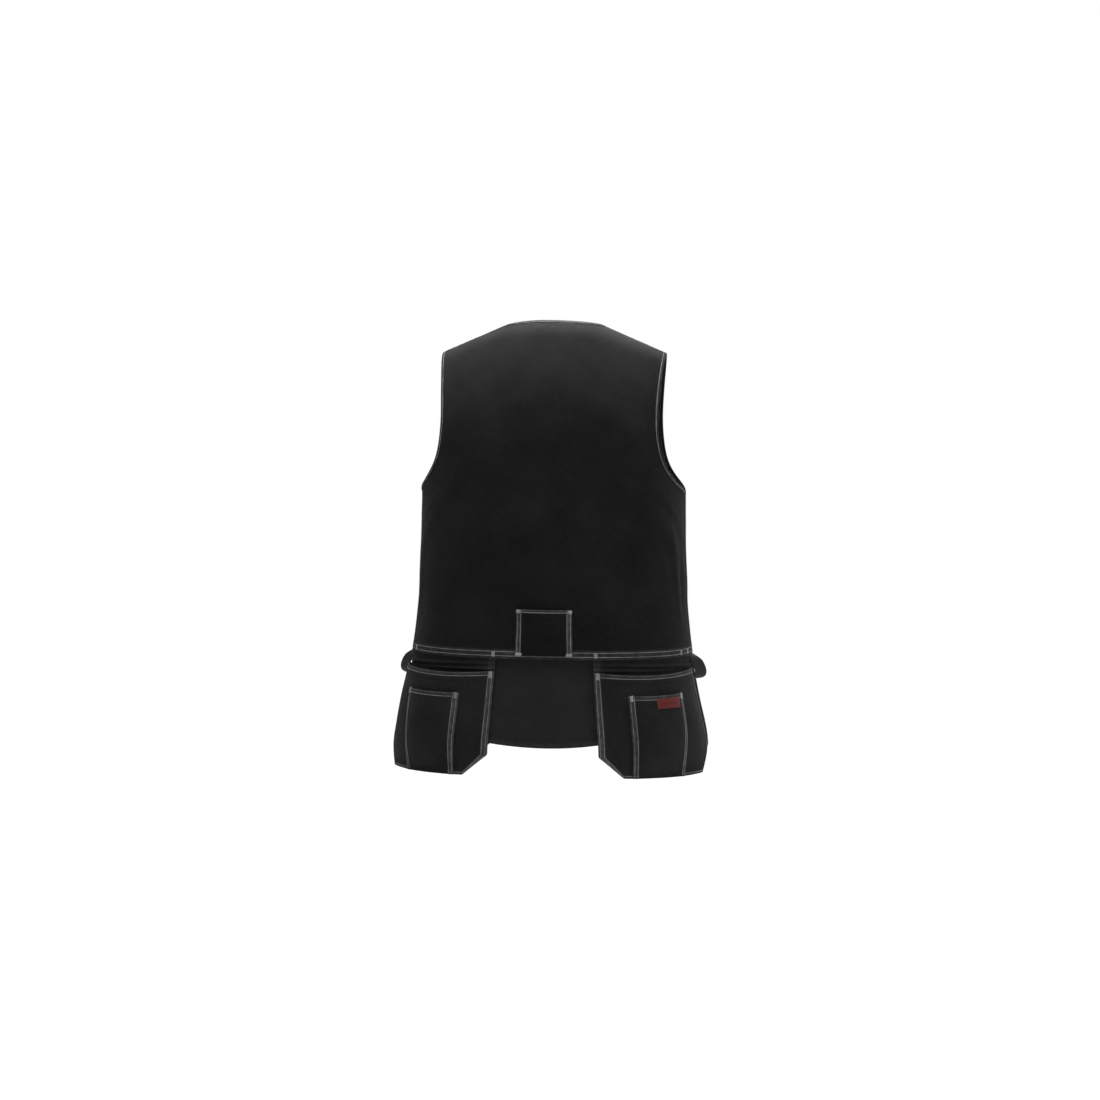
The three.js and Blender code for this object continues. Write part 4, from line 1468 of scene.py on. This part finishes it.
# Studio: a plain pale floor far below the vest, which glows a little. Soft lamps hang close above,
# behind the camera at the left, at the right side and on the far side, and the camera stands where
# the photograph was taken from.
floor_height = -1.45
reach = 30.0
floor_mesh = bpy.data.meshes.new("studio_floor")
corners = [(-reach, -reach), (reach, -reach), (reach, reach), (-reach, reach)]
floor_mesh.from_pydata([(x, y, floor_height) for x, y in corners], [], [(0, 1, 2, 3)])
floor = bpy.data.objects.new("studio_floor", floor_mesh)
bpy.context.scene.collection.objects.link(floor)
floor_paint, tree, shader = new_material("floor_paint")
paint = {
    "Base Color": (0.75, 0.75, 0.75, 1),
    "Roughness": 0.9,
    "Emission Color": (1, 1, 1, 1),
    "Emission Strength": 0.45,
}
fill(tree, shader, paint)
floor_mesh.materials.append(floor_paint)

world = bpy.data.worlds.new("studio_air")
bpy.context.scene.world = world
world.use_nodes = True
air = world.node_tree
seen = add_node(air, "ShaderNodeLightPath").outputs["Is Camera Ray"]
strength = add_math(air, "ADD", 0.15, add_math(air, "MULTIPLY", seen, 0.85))
air.nodes["Background"].inputs["Color"].default_value = (1, 1, 1, 1)
air.links.new(strength, air.nodes["Background"].inputs["Strength"])


def add_light(name, kind, place, aim, power, size):
    """A soft lamp at a place, pointed at another."""
    lamp = bpy.data.lights.new(name, kind)
    lamp.energy = power
    if kind == "AREA":
        lamp.shape = "SQUARE"
        lamp.size = size
    else:
        lamp.angle = size
    made = bpy.data.objects.new(name, lamp)
    bpy.context.scene.collection.objects.link(made)
    made.location = place
    made.visible_camera = False
    direction = Vector(aim) - Vector(place)
    made.rotation_mode = "QUATERNION"
    made.rotation_quaternion = direction.to_track_quat("-Z", "Y")


add_light("sky_panel", "SUN", (0.1, -0.2, 3.0), (0, 0, 0), 2.0, 0.6)
add_light("top_panel", "AREA", (-0.04, -0.27, 0.40), (0, -0.05, -0.1), 12.0, 0.35)
add_light("left_panel", "AREA", (-2.2, -2.4, 0.6), (0, 0, -0.35), 7.5, 1.8)
add_light("far_panel", "AREA", (0.4, 2.6, 0.6), (0, 0, -0.35), 30.0, 1.8)
add_light("right_panel", "AREA", (2.6, -0.55, 0.2), (0, 0, -0.4), 42.0, 1.8)

azimuth, elevation, roll = np.radians([5.5, 3.5, 0.5])
aim = np.array([0.0, 0.0, -0.364])
distance = 3.2
seen_width = 1.76
sensor_width = 36.0
back = np.array(
    [np.sin(azimuth) * np.cos(elevation), -np.cos(azimuth) * np.cos(elevation), np.sin(elevation)]
)
right = np.array([np.cos(azimuth), np.sin(azimuth), 0.0])
upright = np.cross(back, right)
tilted_right = right * np.cos(roll) + upright * np.sin(roll)
tilted_up = upright * np.cos(roll) - right * np.sin(roll)
camera_data = bpy.data.cameras.new("photo_camera")
camera_data.sensor_width = sensor_width
camera_data.lens = sensor_width * distance / seen_width
camera_data.shift_x = -3 / 1100
camera = bpy.data.objects.new("photo_camera", camera_data)
bpy.context.scene.collection.objects.link(camera)
camera.matrix_world = Matrix(
    [
        [*(axis[k] for axis in (tilted_right, tilted_up, back)), (aim + back * distance)[k]]
        for k in range(3)
    ]
    + [[0, 0, 0, 1]]
)
bpy.context.scene.camera = camera
bpy.context.scene.view_settings.view_transform = "Standard"
